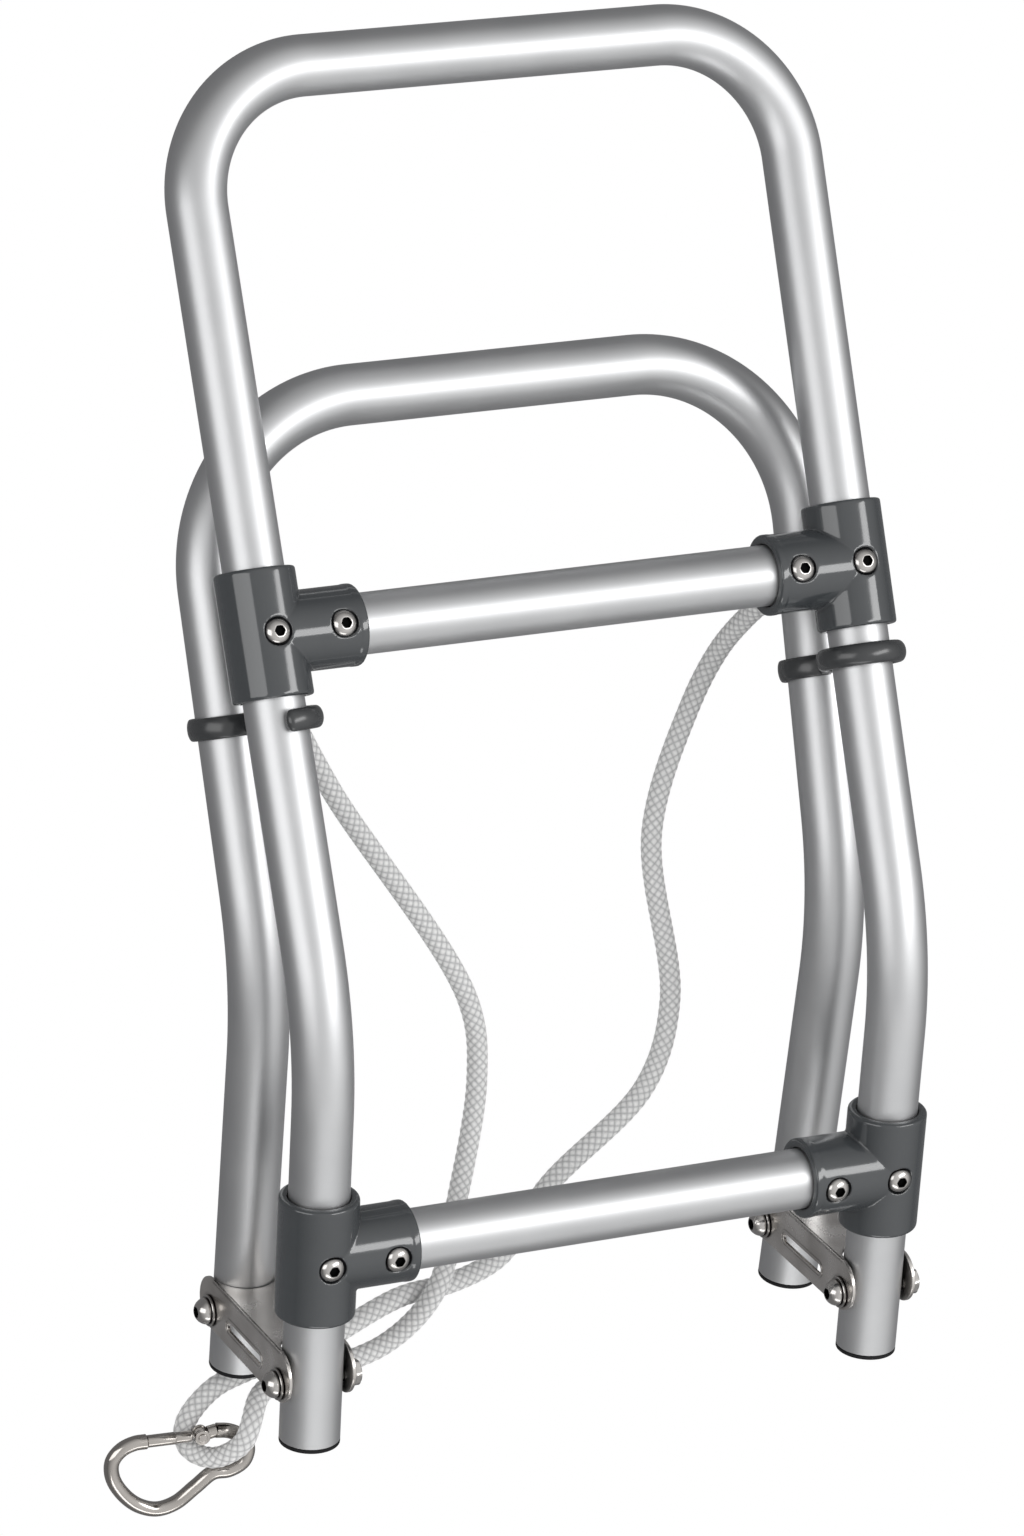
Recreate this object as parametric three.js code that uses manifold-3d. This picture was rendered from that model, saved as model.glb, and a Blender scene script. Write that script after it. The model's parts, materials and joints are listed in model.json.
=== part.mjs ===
// Folding boarding ladder, lying on its back, in millimetres, +Z up.
// X runs along the rungs, Y towards the arches. The origin is under the middle of the folded ladder.
// Two bent tube frames lie one over the other, joined at their feet by a pair of hinge links.

import * as THREE from 'three';
import * as BufferGeometryUtils from 'three/addons/utils/BufferGeometryUtils.js';
import Module from 'manifold-3d';

const wasm = await Module();
wasm.setup();

// Tubes of the frames and rungs
const tubeRadius = 12.5;
const tubeWall = 1.5;
const footHalfSpan = 127.5;
const kneeAlong = 178;
const kneeBendRadius = 146.5;
const kneeAngle = THREE.MathUtils.degToRad(27.1);
const frontUpperLength = 386;
const frontArchHalfSpan = 133.75;
const frontCornerRadius = 54;
const rearUpperLength = 230;
const rearArchHalfSpan = 136;
const rearCornerRadius = 71;
const lowerRungAlong = 82;
const upperRungAlong = 338.8;
const cutOverrun = 4;
const seatGap = 0.3;

// T joints
const teeRadius = 16.5;
const teeBodyLength = 52;
const teeBranchReach = 39;
const teeEndChamfer = 1.2;
const teeBeadHeight = 0.2;
const teeBeadWidth = 3.5;
const teeBranchBoltOffset = 28.8;
const teeRecessRadius = 5.8;
const teeRecessDepth = 1.7;
const rungEndGap = 1;

// Bolts and nuts of the T joints
const teeBoltRadius = 2.5;
const teeBoltHeadRadius = 5.2;
const teeBoltHeadHeight = 2.6;
const teeBoltSocketRadius = 2;
const teeBoltSocketDepth = 1.4;
const teeNutAcrossFlats = 8;
const teeNutHeight = 3.2;
const teeBoltTail = 0.8;

// Hinge links, channels of bent sheet
const linkLength = 69.5;
const linkBoltAlong = 26;
const linkHalfWidth = 11;
const linkOffset = 3.5;
const linkSheet = 1.5;
const linkSideClearance = 0.8;
const linkWebClearance = 0.5;
const linkSlotLength = 34;
const linkSlotWidth = 4;
const linkSlotOffset = 1.5;

// Hinge bolts, washers and nuts
const hingeBoltRadius = 3;
const hingeHeadRadius = 5.6;
const hingeHeadHeight = 4.6;
const hingeSocketRadius = 2.1;
const hingeSocketDepth = 2;
const hingeWasherRadius = 6.6;
const hingeWasherHeight = 1;
const hingeNutAcrossFlats = 10;
const hingeNutHeight = 4;
const hingeBoltTail = 0.6;

// End caps
const capRim = 2;
const capChamfer = 0.4;
const capStemLength = 12;
const capStemWall = 2;

// Spring clips
const leftClipTeeGap = 1;
const rightClipTeeGap = 7;
const clipTipAngle = THREE.MathUtils.degToRad(15);
const clipHeight = 9;
const frontLoopWall = 5.9;
const rearLoopWall = 3.4;
const clipArmWidth = 6;
const clipHookClearance = 0.75;

// Rope and its stopper knots, in the place where it lies on the ground
const ropeRadius = 4.5;
const ropeHoleAlong = 316;
const ropeHoleRadius = 5;
const ropeHoleAngle = THREE.MathUtils.degToRad(35);
const knotRadius = 7.6;
const knotDepth = 3;

// Snap hook
const hookWireRadius = 3.15;
const gateWireRadius = 2.6;
const hookTailRadius = 2.9;
const hookTailHalfHeight = 1.5;
const hookCheekRadius = 3.3;
const hookCheekHeight = 1.3;
const hookRivetRadius = 1.1;
const hookRivetHeadRadius = 1.9;
const hookRivetHeadHeight = 0.7;
const hookReach = 50;
const hookPlace = new THREE.Vector3(-136.1, -300.4, 13);
const hookRoll = THREE.MathUtils.degToRad(11.4);
const hookPitch = THREE.MathUtils.degToRad(7.3);

// Counts of facets
const tubeSides = 20;
const bendSteps = 5;
const teeSides = 20;
const smallSides = 10;
const ropeSides = 8;
const wireSides = 10;

const tubeMaterial = { color: 0xb9bcbe, roughness: 0.38, metalness: 0.9 };
const teeMaterial = { color: 0x4b4f52, roughness: 0.3, metalness: 0 };
const steelMaterial = { color: 0xb0aaa5, roughness: 0.18, metalness: 1 };
const capMaterial = { color: 0x101112, roughness: 0.5, metalness: 0 };
const clipMaterial = { color: 0x26282a, roughness: 0.45, metalness: 0 };
const ropeMaterial = { color: 0xe4e3e0, roughness: 0.9, metalness: 0 };

const xAxis = new THREE.Vector3(1, 0, 0);
const yAxis = new THREE.Vector3(0, 1, 0);

const frontFrame = {
  upper: frontUpperLength, archHalfSpan: frontArchHalfSpan, corner: frontCornerRadius,
};
const rearFrame = {
  upper: rearUpperLength, archHalfSpan: rearArchHalfSpan, corner: rearCornerRadius,
};

// A path given by its stations, so that a straight run takes one step and only a bend takes many.
class StationPath extends THREE.Curve {
  constructor(stations) {
    super();
    this.stations = stations;
  }
  at(share) {
    return this.stations[Math.round(share * (this.stations.length - 1))];
  }
  getPoint(share, target = new THREE.Vector3()) {
    return target.copy(this.at(share).point);
  }
  getPointAt(share, target) {
    return this.getPoint(share, target);
  }
  getTangent(share, target = new THREE.Vector3()) {
    return target.copy(this.at(share).tangent);
  }
  getTangentAt(share, target) {
    return this.getTangent(share, target);
  }
}

function circlePoints(radius, sides, centre = new THREE.Vector2()) {
  return Array.from({ length: sides }, (_, i) => {
    const angle = (i / sides) * Math.PI * 2;
    return new THREE.Vector2(Math.cos(angle), Math.sin(angle)).multiplyScalar(radius).add(centre);
  });
}

function arcPoints(centre, radius, from, to, steps) {
  return Array.from({ length: steps + 1 }, (_, i) => {
    const angle = from + ((to - from) * i) / steps;
    return new THREE.Vector2(Math.cos(angle), Math.sin(angle)).multiplyScalar(radius).add(centre);
  });
}

function roundShape(radius, sides, boreRadius = 0) {
  const shape = new THREE.Shape(circlePoints(radius, sides));
  if (boreRadius > 0) shape.holes.push(new THREE.Path(circlePoints(boreRadius, sides)));
  return shape;
}

function sweep(shape, stations) {
  const path = new StationPath(stations);
  return new THREE.ExtrudeGeometry(shape, { steps: stations.length - 1, extrudePath: path });
}

// Joins straight runs by arcs. Each inner corner has its own bend radius.
function bentStations(corners, radii, steps) {
  const stations = [];
  const start = corners[1].clone().sub(corners[0]).normalize();
  stations.push({ point: corners[0], tangent: start });
  for (let i = 1; i < corners.length - 1; i += 1) {
    const before = corners[i].clone().sub(corners[i - 1]).normalize();
    const after = corners[i + 1].clone().sub(corners[i]).normalize();
    const angle = before.angleTo(after);
    const inward = after.clone().sub(before).normalize();
    const centre = corners[i].clone().addScaledVector(inward, radii[i - 1] / Math.cos(angle / 2));
    for (let k = 0; k <= steps; k += 1) {
      const turned = (angle * k) / steps;
      const left = Math.sin(angle - turned) / Math.sin(angle);
      const right = Math.sin(turned) / Math.sin(angle);
      const tangent = before.clone().multiplyScalar(left).addScaledVector(after, right).normalize();
      const outLeft = Math.cos(angle - turned) / Math.sin(angle);
      const outRight = Math.cos(turned) / Math.sin(angle);
      const outward = before.clone().multiplyScalar(outLeft).addScaledVector(after, -outRight);
      stations.push({ point: centre.clone().addScaledVector(outward, radii[i - 1]), tangent });
    }
  }
  const last = corners[corners.length - 1];
  const end = last.clone().sub(corners[corners.length - 2]).normalize();
  stations.push({ point: last, tangent: end });
  return stations;
}

// Turned pieces stand on their base at the origin and point along +Y.
function turned(profile, sides) {
  const points = profile.map(([radius, height]) => new THREE.Vector2(radius, height));
  return new THREE.LatheGeometry(points, sides);
}

function rod(radius, length, sides) {
  return turned([[0, 0], [radius, 0], [radius, length], [0, length]], sides);
}

function block(width, depth, height) {
  return new THREE.BoxGeometry(width, depth, height);
}

// Moves a turned piece so that its base is at a point and its axis runs along a direction.
function stand(geometry, base, direction) {
  const turn = new THREE.Quaternion().setFromUnitVectors(yAxis, direction.clone().normalize());
  return geometry.applyQuaternion(turn).translate(base.x, base.y, base.z);
}

function rodBetween(from, to, radius, sides) {
  const reach = to.clone().sub(from);
  return stand(rod(radius, reach.length(), sides), from, reach);
}

function solid(geometry) {
  const bare = geometry.clone();
  bare.deleteAttribute('normal');
  bare.deleteAttribute('uv');
  const merged = BufferGeometryUtils.mergeVertices(bare);
  const index = merged.index.array;
  const kept = [];
  for (let i = 0; i < index.length; i += 3) {
    const [a, b, c] = [index[i], index[i + 1], index[i + 2]];
    if (a !== b && b !== c && c !== a) kept.push(a, b, c);
  }
  const vertProperties = new Float32Array(merged.attributes.position.array);
  return new wasm.Manifold(new wasm.Mesh({ numProp: 3, vertProperties, triVerts: new Uint32Array(kept) }));
}

function shapeOf(body) {
  const mesh = body.getMesh();
  const geometry = new THREE.BufferGeometry();
  geometry.setAttribute('position', new THREE.BufferAttribute(mesh.vertProperties, mesh.numProp));
  geometry.setIndex(new THREE.BufferAttribute(mesh.triVerts, 1));
  geometry.computeVertexNormals();
  return geometry;
}

function joined(geometries) {
  return geometries.map(solid).reduce((whole, next) => whole.add(next));
}

function without(body, cuts) {
  return cuts.map(solid).reduce((whole, cut) => whole.subtract(cut), body);
}

function addPiece(parent, name, geometry, look) {
  const mesh = new THREE.Mesh(geometry, new THREE.MeshStandardMaterial(look));
  mesh.name = name;
  parent.add(mesh);
  return mesh;
}

// Places on the legs. Along is measured from the stub end, lift from the axis towards the front.
function legPoint(frame, side, along, lift = 0) {
  const beyond = Math.max(0, along - kneeAlong);
  const turn = beyond > 0 ? kneeAngle : 0;
  const spread = ((frame.archHalfSpan - footHalfSpan) * along) / (kneeAlong + frame.upper);
  return new THREE.Vector3(
    side * (footHalfSpan + spread),
    along - beyond * (1 - Math.cos(kneeAngle)) + lift * Math.sin(turn),
    lift * Math.cos(turn) - beyond * Math.sin(kneeAngle),
  );
}

function legDirection(frame, side, along) {
  const onUpper = along > kneeAlong;
  const from = onUpper ? kneeAlong : 0;
  const to = onUpper ? kneeAlong + frame.upper : kneeAlong;
  return legPoint(frame, side, to).sub(legPoint(frame, side, from)).normalize();
}

function liftDirection(along) {
  const turn = along > kneeAlong ? kneeAngle : 0;
  return new THREE.Vector3(0, Math.sin(turn), Math.cos(turn));
}

// How the folded ladder lies: the rear frame rests on its arch and on its cap rims,
// the front one on its arch.
const archOf = (frame) => legPoint(frame, 1, kneeAlong + frame.upper);
const rearArch = archOf(rearFrame);
const rimAlong = capChamfer - capRim;
const rearReach = Math.hypot(rearArch.y - rimAlong, rearArch.z + tubeRadius);
const rearRise = Math.atan2(rearArch.z + tubeRadius, rearArch.y - rimAlong);
const rearTilt = Math.asin(tubeRadius / rearReach) - rearRise;
const hingeDrop = (linkBoltAlong - rearArch.y) * Math.sin(rearTilt) - rearArch.z * Math.cos(rearTilt);
const hingeHeight = tubeRadius + hingeDrop;
const frontArch = archOf(frontFrame);
const frontReach = Math.hypot(frontArch.y - linkBoltAlong, frontArch.z + linkLength);
const frontRise = Math.atan2(frontArch.z + linkLength, frontArch.y - linkBoltAlong);
const frontTilt = Math.asin((tubeRadius - hingeHeight) / frontReach) - frontRise;
const frameTilt = rearTilt - frontTilt;

const ladder = new THREE.Group();
ladder.rotation.x = frontTilt;
const frontGroup = new THREE.Group();
const rearGroup = new THREE.Group();
const rearInner = new THREE.Group();
rearGroup.position.set(0, linkBoltAlong, -linkLength);
rearGroup.rotation.x = frameTilt;
rearInner.position.y = -linkBoltAlong;
rearGroup.add(rearInner);
ladder.add(frontGroup, rearGroup);

// Places on the rear frame seen from the front frame
function rearToFront(point) {
  const place = point.clone();
  place.y -= linkBoltAlong;
  place.applyAxisAngle(xAxis, frameTilt);
  place.y += linkBoltAlong;
  place.z -= linkLength;
  return place;
}

// Frame tubes
function frameTube(frame, cuts) {
  const foot = (side) => legPoint(frame, side, 0);
  const knee = (side) => legPoint(frame, side, kneeAlong);
  const corner = (side) => legPoint(frame, side, kneeAlong + frame.upper);
  const corners = [foot(-1), knee(-1), corner(-1), corner(1), knee(1), foot(1)];
  const radii = [kneeBendRadius, frame.corner, frame.corner, kneeBendRadius];
  const stations = bentStations(corners, radii, bendSteps);
  const tube = sweep(roundShape(tubeRadius, tubeSides, tubeRadius - tubeWall), stations);
  return shapeOf(without(solid(tube), cuts));
}

const hingeHoleRadius = hingeBoltRadius + seatGap;
function hingeHoles(frame) {
  return [-1, 1].map((side) => {
    const centre = legPoint(frame, side, linkBoltAlong);
    const reach = tubeRadius + cutOverrun;
    const from = centre.clone().addScaledVector(xAxis, -reach);
    const to = centre.clone().addScaledVector(xAxis, reach);
    return rodBetween(from, to, hingeHoleRadius, smallSides);
  });
}

const teeHoleRadius = teeBoltRadius + seatGap;
function crossHole(centre, direction, radius) {
  const reach = teeRadius + cutOverrun;
  const from = centre.clone().addScaledVector(direction, -reach);
  const to = centre.clone().addScaledVector(direction, reach);
  return rodBetween(from, to, radius, smallSides);
}

const teePlaces = [];
for (const [level, along] of [['upper', upperRungAlong], ['lower', lowerRungAlong]]) {
  for (const [sideName, side] of [['left', -1], ['right', 1]]) {
    const centre = legPoint(frontFrame, side, along);
    const branchBolt = centre.clone().addScaledVector(xAxis, -side * teeBranchBoltOffset);
    const leg = legDirection(frontFrame, side, along);
    teePlaces.push({
      name: `${level}_${sideName}`, side, along, centre, branchBolt, leg, lift: liftDirection(along),
    });
  }
}

const frontCuts = teePlaces.map((tee) => crossHole(tee.centre, tee.lift, teeHoleRadius));
const frontHoles = [...hingeHoles(frontFrame), ...frontCuts];
addPiece(frontGroup, 'front_frame_tube', frameTube(frontFrame, frontHoles), tubeMaterial);

// The rope leaves each rear leg through a hole that faces the front and leans inward.
function ropeHole(side) {
  const centre = legPoint(rearFrame, side, ropeHoleAlong);
  const out = liftDirection(ropeHoleAlong).multiplyScalar(Math.cos(ropeHoleAngle));
  out.addScaledVector(xAxis, -side * Math.sin(ropeHoleAngle));
  return { centre, out };
}

const ropeCuts = [-1, 1].map((side) => {
  const { centre, out } = ropeHole(side);
  const to = centre.clone().addScaledVector(out, tubeRadius + cutOverrun);
  return rodBetween(centre, to, ropeHoleRadius, smallSides);
});
const rearHoles = [...hingeHoles(rearFrame), ...ropeCuts];
addPiece(rearInner, 'rear_frame_tube', frameTube(rearFrame, rearHoles), tubeMaterial);

// Rungs, straight tubes whose ends stop short of the legs inside the T joints
for (const level of ['upper', 'lower']) {
  const [left, right] = teePlaces.filter((tee) => tee.name.startsWith(level));
  const inset = tubeRadius + rungEndGap;
  const from = left.centre.clone().addScaledVector(xAxis, inset);
  const to = right.centre.clone().addScaledVector(xAxis, -inset);
  const stations = [{ point: from, tangent: xAxis }, { point: to, tangent: xAxis }];
  const tube = sweep(roundShape(tubeRadius, tubeSides, tubeRadius - tubeWall), stations);
  const cuts = [left, right].map((tee) => crossHole(tee.branchBolt, tee.lift, teeHoleRadius));
  addPiece(frontGroup, `${level}_rung`, shapeOf(without(solid(tube), cuts)), tubeMaterial);
}

// T joints: a sleeve on the leg and a branch on the rung, with a raised bead at the branch's mouth
function sleeve(length, radius) {
  const flat = radius - teeEndChamfer;
  return turned([[0, 0], [flat, 0], [radius, teeEndChamfer], [radius, length - teeEndChamfer],
    [flat, length], [0, length]], teeSides);
}

function teeShape(tee) {
  const inward = xAxis.clone().multiplyScalar(-tee.side);
  const half = teeBodyLength / 2;
  const bodyEnd = tee.centre.clone().addScaledVector(tee.leg, -half);
  const body = stand(sleeve(teeBodyLength, teeRadius), bodyEnd, tee.leg);
  const branch = stand(sleeve(teeBranchReach, teeRadius), tee.centre, inward);
  const beadBase = tee.centre.clone().addScaledVector(inward, teeBranchReach - teeBeadWidth);
  const bead = stand(sleeve(teeBeadWidth, teeRadius + teeBeadHeight), beadBase, inward);
  const bore = tubeRadius + seatGap;
  const legReach = half + cutOverrun;
  const legFrom = tee.centre.clone().addScaledVector(tee.leg, -legReach);
  const legTo = tee.centre.clone().addScaledVector(tee.leg, legReach);
  const mouth = tee.centre.clone().addScaledVector(inward, teeBranchReach + cutOverrun);
  const cuts = [
    rodBetween(legFrom, legTo, bore, teeSides),
    rodBetween(tee.centre, mouth, bore, teeSides),
  ];
  for (const centre of [tee.centre, tee.branchBolt]) {
    cuts.push(crossHole(centre, tee.lift, teeHoleRadius));
    for (const facing of [1, -1]) {
      const out = tee.lift.clone().multiplyScalar(facing);
      const from = centre.clone().addScaledVector(out, teeRadius - teeRecessDepth);
      const to = centre.clone().addScaledVector(out, teeRadius + cutOverrun);
      cuts.push(rodBetween(from, to, teeRecessRadius, smallSides));
    }
  }
  return shapeOf(without(joined([body, branch, bead]), cuts));
}

for (const tee of teePlaces) addPiece(frontGroup, `tee_${tee.name}`, teeShape(tee), teeMaterial);

// Round head bolts: the shank's end is the base, the head is on top with a round socket.
const domeShares = [[0.94, 0.35], [0.72, 0.75]];
function roundHeadBolt(size) {
  const dome = domeShares.map(([radius, height]) => [
    size.headRadius * radius, size.length + size.headHeight * height,
  ]);
  const top = size.length + size.headHeight;
  const floor = top - size.socketDepth;
  const shank = [[0, 0], [size.radius, 0], [size.radius, size.length]];
  const socket = [[size.socketRadius, top], [size.socketRadius, floor], [0, floor]];
  return turned([...shank, [size.headRadius, size.length], ...dome, ...socket], smallSides);
}

function hexNut(acrossFlats, height, boreRadius) {
  const shape = new THREE.Shape(circlePoints(acrossFlats / Math.sqrt(3), 6));
  shape.holes.push(new THREE.Path(circlePoints(boreRadius, smallSides)));
  const nut = new THREE.ExtrudeGeometry(shape, { depth: height, bevelEnabled: false });
  return nut.rotateX(-Math.PI / 2);
}

const teeSeat = teeRadius - teeRecessDepth + seatGap;
const teeBoltLength = 2 * teeSeat + teeNutHeight + teeBoltTail;
for (const tee of teePlaces) {
  for (const [place, centre] of [['leg', tee.centre], ['rung', tee.branchBolt]]) {
    const down = tee.lift.clone().negate();
    const tail = centre.clone().addScaledVector(tee.lift, teeSeat - teeBoltLength);
    const bolt = roundHeadBolt({
      radius: teeBoltRadius, length: teeBoltLength,
      headRadius: teeBoltHeadRadius, headHeight: teeBoltHeadHeight,
      socketRadius: teeBoltSocketRadius, socketDepth: teeBoltSocketDepth,
    });
    addPiece(frontGroup, `bolt_${tee.name}_${place}`, stand(bolt, tail, tee.lift), steelMaterial);
    const nut = hexNut(teeNutAcrossFlats, teeNutHeight, teeHoleRadius);
    const nutBase = centre.clone().addScaledVector(down, teeSeat);
    addPiece(frontGroup, `nut_${tee.name}_${place}`, stand(nut, nutBase, down), steelMaterial);
  }
}

// End caps: a rim that closes the stub end and a hollow stem inside the tube
const boreRadius = tubeRadius - tubeWall;
function endCap() {
  const stem = boreRadius - seatGap;
  const hollow = stem - capStemWall;
  const floor = capRim - seatGap;
  const tip = floor + capStemLength;
  const face = [[0, 0], [tubeRadius - capChamfer, 0], [tubeRadius, capChamfer]];
  const outside = [[tubeRadius, floor], [stem, floor], [stem, tip]];
  const inside = [[hollow, tip], [hollow, floor], [0, floor]];
  return turned([...face, ...outside, ...inside], tubeSides);
}

const cappedFrames = [['front', frontFrame, frontGroup], ['rear', rearFrame, rearInner]];
for (const [frameName, frame, group] of cappedFrames) {
  for (const [sideName, side] of [['left', -1], ['right', 1]]) {
    const leg = legDirection(frame, side, 0);
    const base = legPoint(frame, side, 0).addScaledVector(leg, -capRim);
    addPiece(group, `end_cap_${frameName}_${sideName}`, stand(endCap(), base, leg), capMaterial);
  }
}

// Hinge links: two slotted sides joined by a web whose ends are hollowed to clear the tubes
const boltedLegs = [frontFrame, rearFrame].map((frame) => legPoint(frame, 1, linkBoltAlong));
const linkCentreX = (boltedLegs[0].x + boltedLegs[1].x) / 2;
const linkInner = tubeRadius + linkSideClearance;
const linkOuter = linkInner + linkSheet;
const toLinkPlane = new THREE.Matrix4().makeBasis(yAxis, new THREE.Vector3(0, 0, 1), xAxis);

function slotPoints(centre, length, radius, steps) {
  const low = new THREE.Vector2(centre.x, centre.y - length / 2);
  const high = new THREE.Vector2(centre.x, centre.y + length / 2);
  return [...arcPoints(low, radius, -Math.PI, 0, steps), ...arcPoints(high, radius, 0, Math.PI, steps)];
}

function linkSide(innerX) {
  const middle = linkLength / 2;
  const outline = slotPoints(new THREE.Vector2(linkOffset, middle), linkLength, linkHalfWidth, smallSides);
  const shape = new THREE.Shape(outline);
  const slotRun = linkSlotLength - linkSlotWidth;
  const slotCentre = new THREE.Vector2(linkSlotOffset, middle);
  const slot = slotPoints(slotCentre, slotRun, linkSlotWidth / 2, bendSteps);
  shape.holes.push(new THREE.Path(slot));
  for (const height of [0, linkLength]) {
    const holeCentre = new THREE.Vector2(0, height);
    shape.holes.push(new THREE.Path(circlePoints(hingeHoleRadius, smallSides, holeCentre)));
  }
  const side = new THREE.ExtrudeGeometry(shape, { depth: linkSheet, bevelEnabled: false });
  return side.applyMatrix4(toLinkPlane).translate(innerX, linkBoltAlong, -linkLength);
}

function linkShape(side) {
  const centreX = side * linkCentreX;
  const webTop = linkOffset + linkHalfWidth;
  const web = block(2 * linkOuter, linkSheet, linkLength);
  web.translate(centreX, linkBoltAlong + webTop - linkSheet / 2, -linkLength / 2);
  const reach = linkHalfWidth + linkBoltAlong;
  const frontLeg = [0, linkBoltAlong + reach].map((along) => legPoint(frontFrame, side, along));
  const rearLeg = [0, linkBoltAlong + reach].map((along) => rearToFront(legPoint(rearFrame, side, along)));
  const cuts = [frontLeg, rearLeg].map(([from, to]) => (
    rodBetween(from, to, tubeRadius + linkWebClearance, teeSides)));
  const hollowedWeb = without(solid(web), cuts);
  const sides = joined([linkSide(centreX + linkInner), linkSide(centreX - linkOuter)]);
  return shapeOf(hollowedWeb.add(sides));
}

const washerInner = linkOuter + seatGap;
const headSeat = washerInner + hingeWasherHeight + seatGap;
const hingeBoltLength = 2 * headSeat + hingeNutHeight + hingeBoltTail;
function washer() {
  return turned([[hingeHoleRadius, 0], [hingeWasherRadius, 0], [hingeWasherRadius, hingeWasherHeight],
    [hingeHoleRadius, hingeWasherHeight], [hingeHoleRadius, 0]], smallSides);
}

const toLeft = xAxis.clone().negate();
for (const [sideName, side] of [['left', -1], ['right', 1]]) {
  addPiece(ladder, `hinge_link_${sideName}`, linkShape(side), steelMaterial);
  for (const [frameName, height] of [['front', 0], ['rear', -linkLength]]) {
    const name = `${frameName}_${sideName}`;
    const at = (x) => new THREE.Vector3(side * linkCentreX + x, linkBoltAlong, height);
    const bolt = roundHeadBolt({
      radius: hingeBoltRadius, length: hingeBoltLength,
      headRadius: hingeHeadRadius, headHeight: hingeHeadHeight,
      socketRadius: hingeSocketRadius, socketDepth: hingeSocketDepth,
    });
    const tail = hingeBoltLength - headSeat;
    addPiece(ladder, `hinge_bolt_${name}`, stand(bolt, at(tail), toLeft), steelMaterial);
    addPiece(ladder, `head_washer_${name}`, stand(washer(), at(-washerInner), toLeft), steelMaterial);
    addPiece(ladder, `nut_washer_${name}`, stand(washer(), at(washerInner), xAxis), steelMaterial);
    const nut = hexNut(hingeNutAcrossFlats, hingeNutHeight, hingeHoleRadius);
    addPiece(ladder, `hinge_nut_${name}`, stand(nut, at(headSeat), xAxis), steelMaterial);
  }
}

// Spring clips: a closed ring turns on one leg, and a half ring snaps over the other frame's leg.
// The outline lies across the ring's own leg: X of the outline points from ring to hook, Y inward.
function clipOutline(distance, ringWall, hookWall) {
  const clear = tubeRadius + seatGap;
  const hookCentre = new THREE.Vector2(distance, 0);
  const hookClear = tubeRadius + clipHookClearance;
  const hookOuter = arcPoints(hookCentre, clear + hookWall, -clipTipAngle, Math.PI / 2, bendSteps + 1);
  const hookInner = arcPoints(hookCentre, hookClear, -clipTipAngle, Math.PI, smallSides + 1);
  const hookBack = arcPoints(hookCentre, clear + hookWall, Math.PI / 2, Math.PI, bendSteps);
  const hook = new THREE.Shape([...hookOuter, ...hookBack.slice(1), ...hookInner.reverse()]);
  const ring = roundShape(clear + ringWall, teeSides, clear);
  const armStart = clear + ringWall / 2;
  const armEnd = distance - clear - hookWall / 2;
  const arm = new THREE.Shape([
    new THREE.Vector2(armStart, 0), new THREE.Vector2(armEnd, 0),
    new THREE.Vector2(armEnd, clipArmWidth), new THREE.Vector2(armStart, clipArmWidth),
  ]);
  const depth = { depth: clipHeight, bevelEnabled: false };
  return [hook, ring, arm].map((shape) => new THREE.ExtrudeGeometry(shape, depth));
}

function clipShape(ownAxis, ownPoint, otherPoint, inward, ringWall, hookWall) {
  const towards = otherPoint.clone().sub(ownPoint);
  towards.addScaledVector(ownAxis, -towards.dot(ownAxis));
  const distance = towards.length();
  towards.normalize();
  const across = new THREE.Vector3().crossVectors(ownAxis, towards);
  const up = ownAxis.clone();
  if (across.dot(inward) < 0) {
    across.negate();
    up.negate();
  }
  const base = ownPoint.clone().addScaledVector(up, -clipHeight / 2);
  const place = new THREE.Matrix4().makeBasis(towards, across, up).setPosition(base);
  return shapeOf(joined(clipOutline(distance, ringWall, hookWall).map((part) => part.applyMatrix4(place))));
}

// Where a line meets the plane across another leg
function acrossFrom(plane, point, lineStart, lineDirection) {
  const share = plane.dot(point.clone().sub(lineStart)) / plane.dot(lineDirection);
  return lineStart.clone().addScaledVector(lineDirection, share);
}

function legLine(frame, side, along, map = (point) => point) {
  const start = map(legPoint(frame, side, along));
  const end = map(legPoint(frame, side, kneeAlong + frame.upper));
  return { start, direction: end.sub(start).normalize() };
}

const clipTop = upperRungAlong - teeBodyLength / 2 - clipHeight / 2;
const clipFront = {
  left: legLine(frontFrame, -1, clipTop - leftClipTeeGap),
  right: legLine(frontFrame, 1, clipTop - rightClipTeeGap),
};
const clipRear = {
  left: legLine(rearFrame, -1, kneeAlong, rearToFront),
  right: legLine(rearFrame, 1, kneeAlong, rearToFront),
};
const frontAxis = clipFront.left.direction;
const leftRing = acrossFrom(frontAxis, clipFront.left.start, clipRear.left.start, clipRear.left.direction);
const leftHook = acrossFrom(clipRear.left.direction, leftRing, clipFront.left.start, frontAxis);
const leftClip = clipShape(clipRear.left.direction, leftRing, leftHook, xAxis, rearLoopWall, frontLoopWall);
addPiece(ladder, 'clip_left', leftClip, clipMaterial);
const rightAxis = clipFront.right.direction;
const rightRing = clipFront.right.start;
const rightRear = clipRear.right;
const rightHook = acrossFrom(rightAxis, rightRing, rightRear.start, rightRear.direction);
const rightClip = clipShape(rightAxis, rightRing, rightHook, toLeft, frontLoopWall, rearLoopWall);
addPiece(ladder, 'clip_right', rightClip, clipMaterial);

// Stopper knots hold the rope's ends inside the rear legs.
for (const [sideName, side] of [['left', -1], ['right', 1]]) {
  const { centre, out } = ropeHole(side);
  const knot = new THREE.SphereGeometry(knotRadius, smallSides, smallSides / 2);
  const place = centre.clone().addScaledVector(out, -knotDepth);
  addPiece(rearInner, `rope_knot_${sideName}`, knot.translate(place.x, place.y, place.z), ropeMaterial);
}

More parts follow.
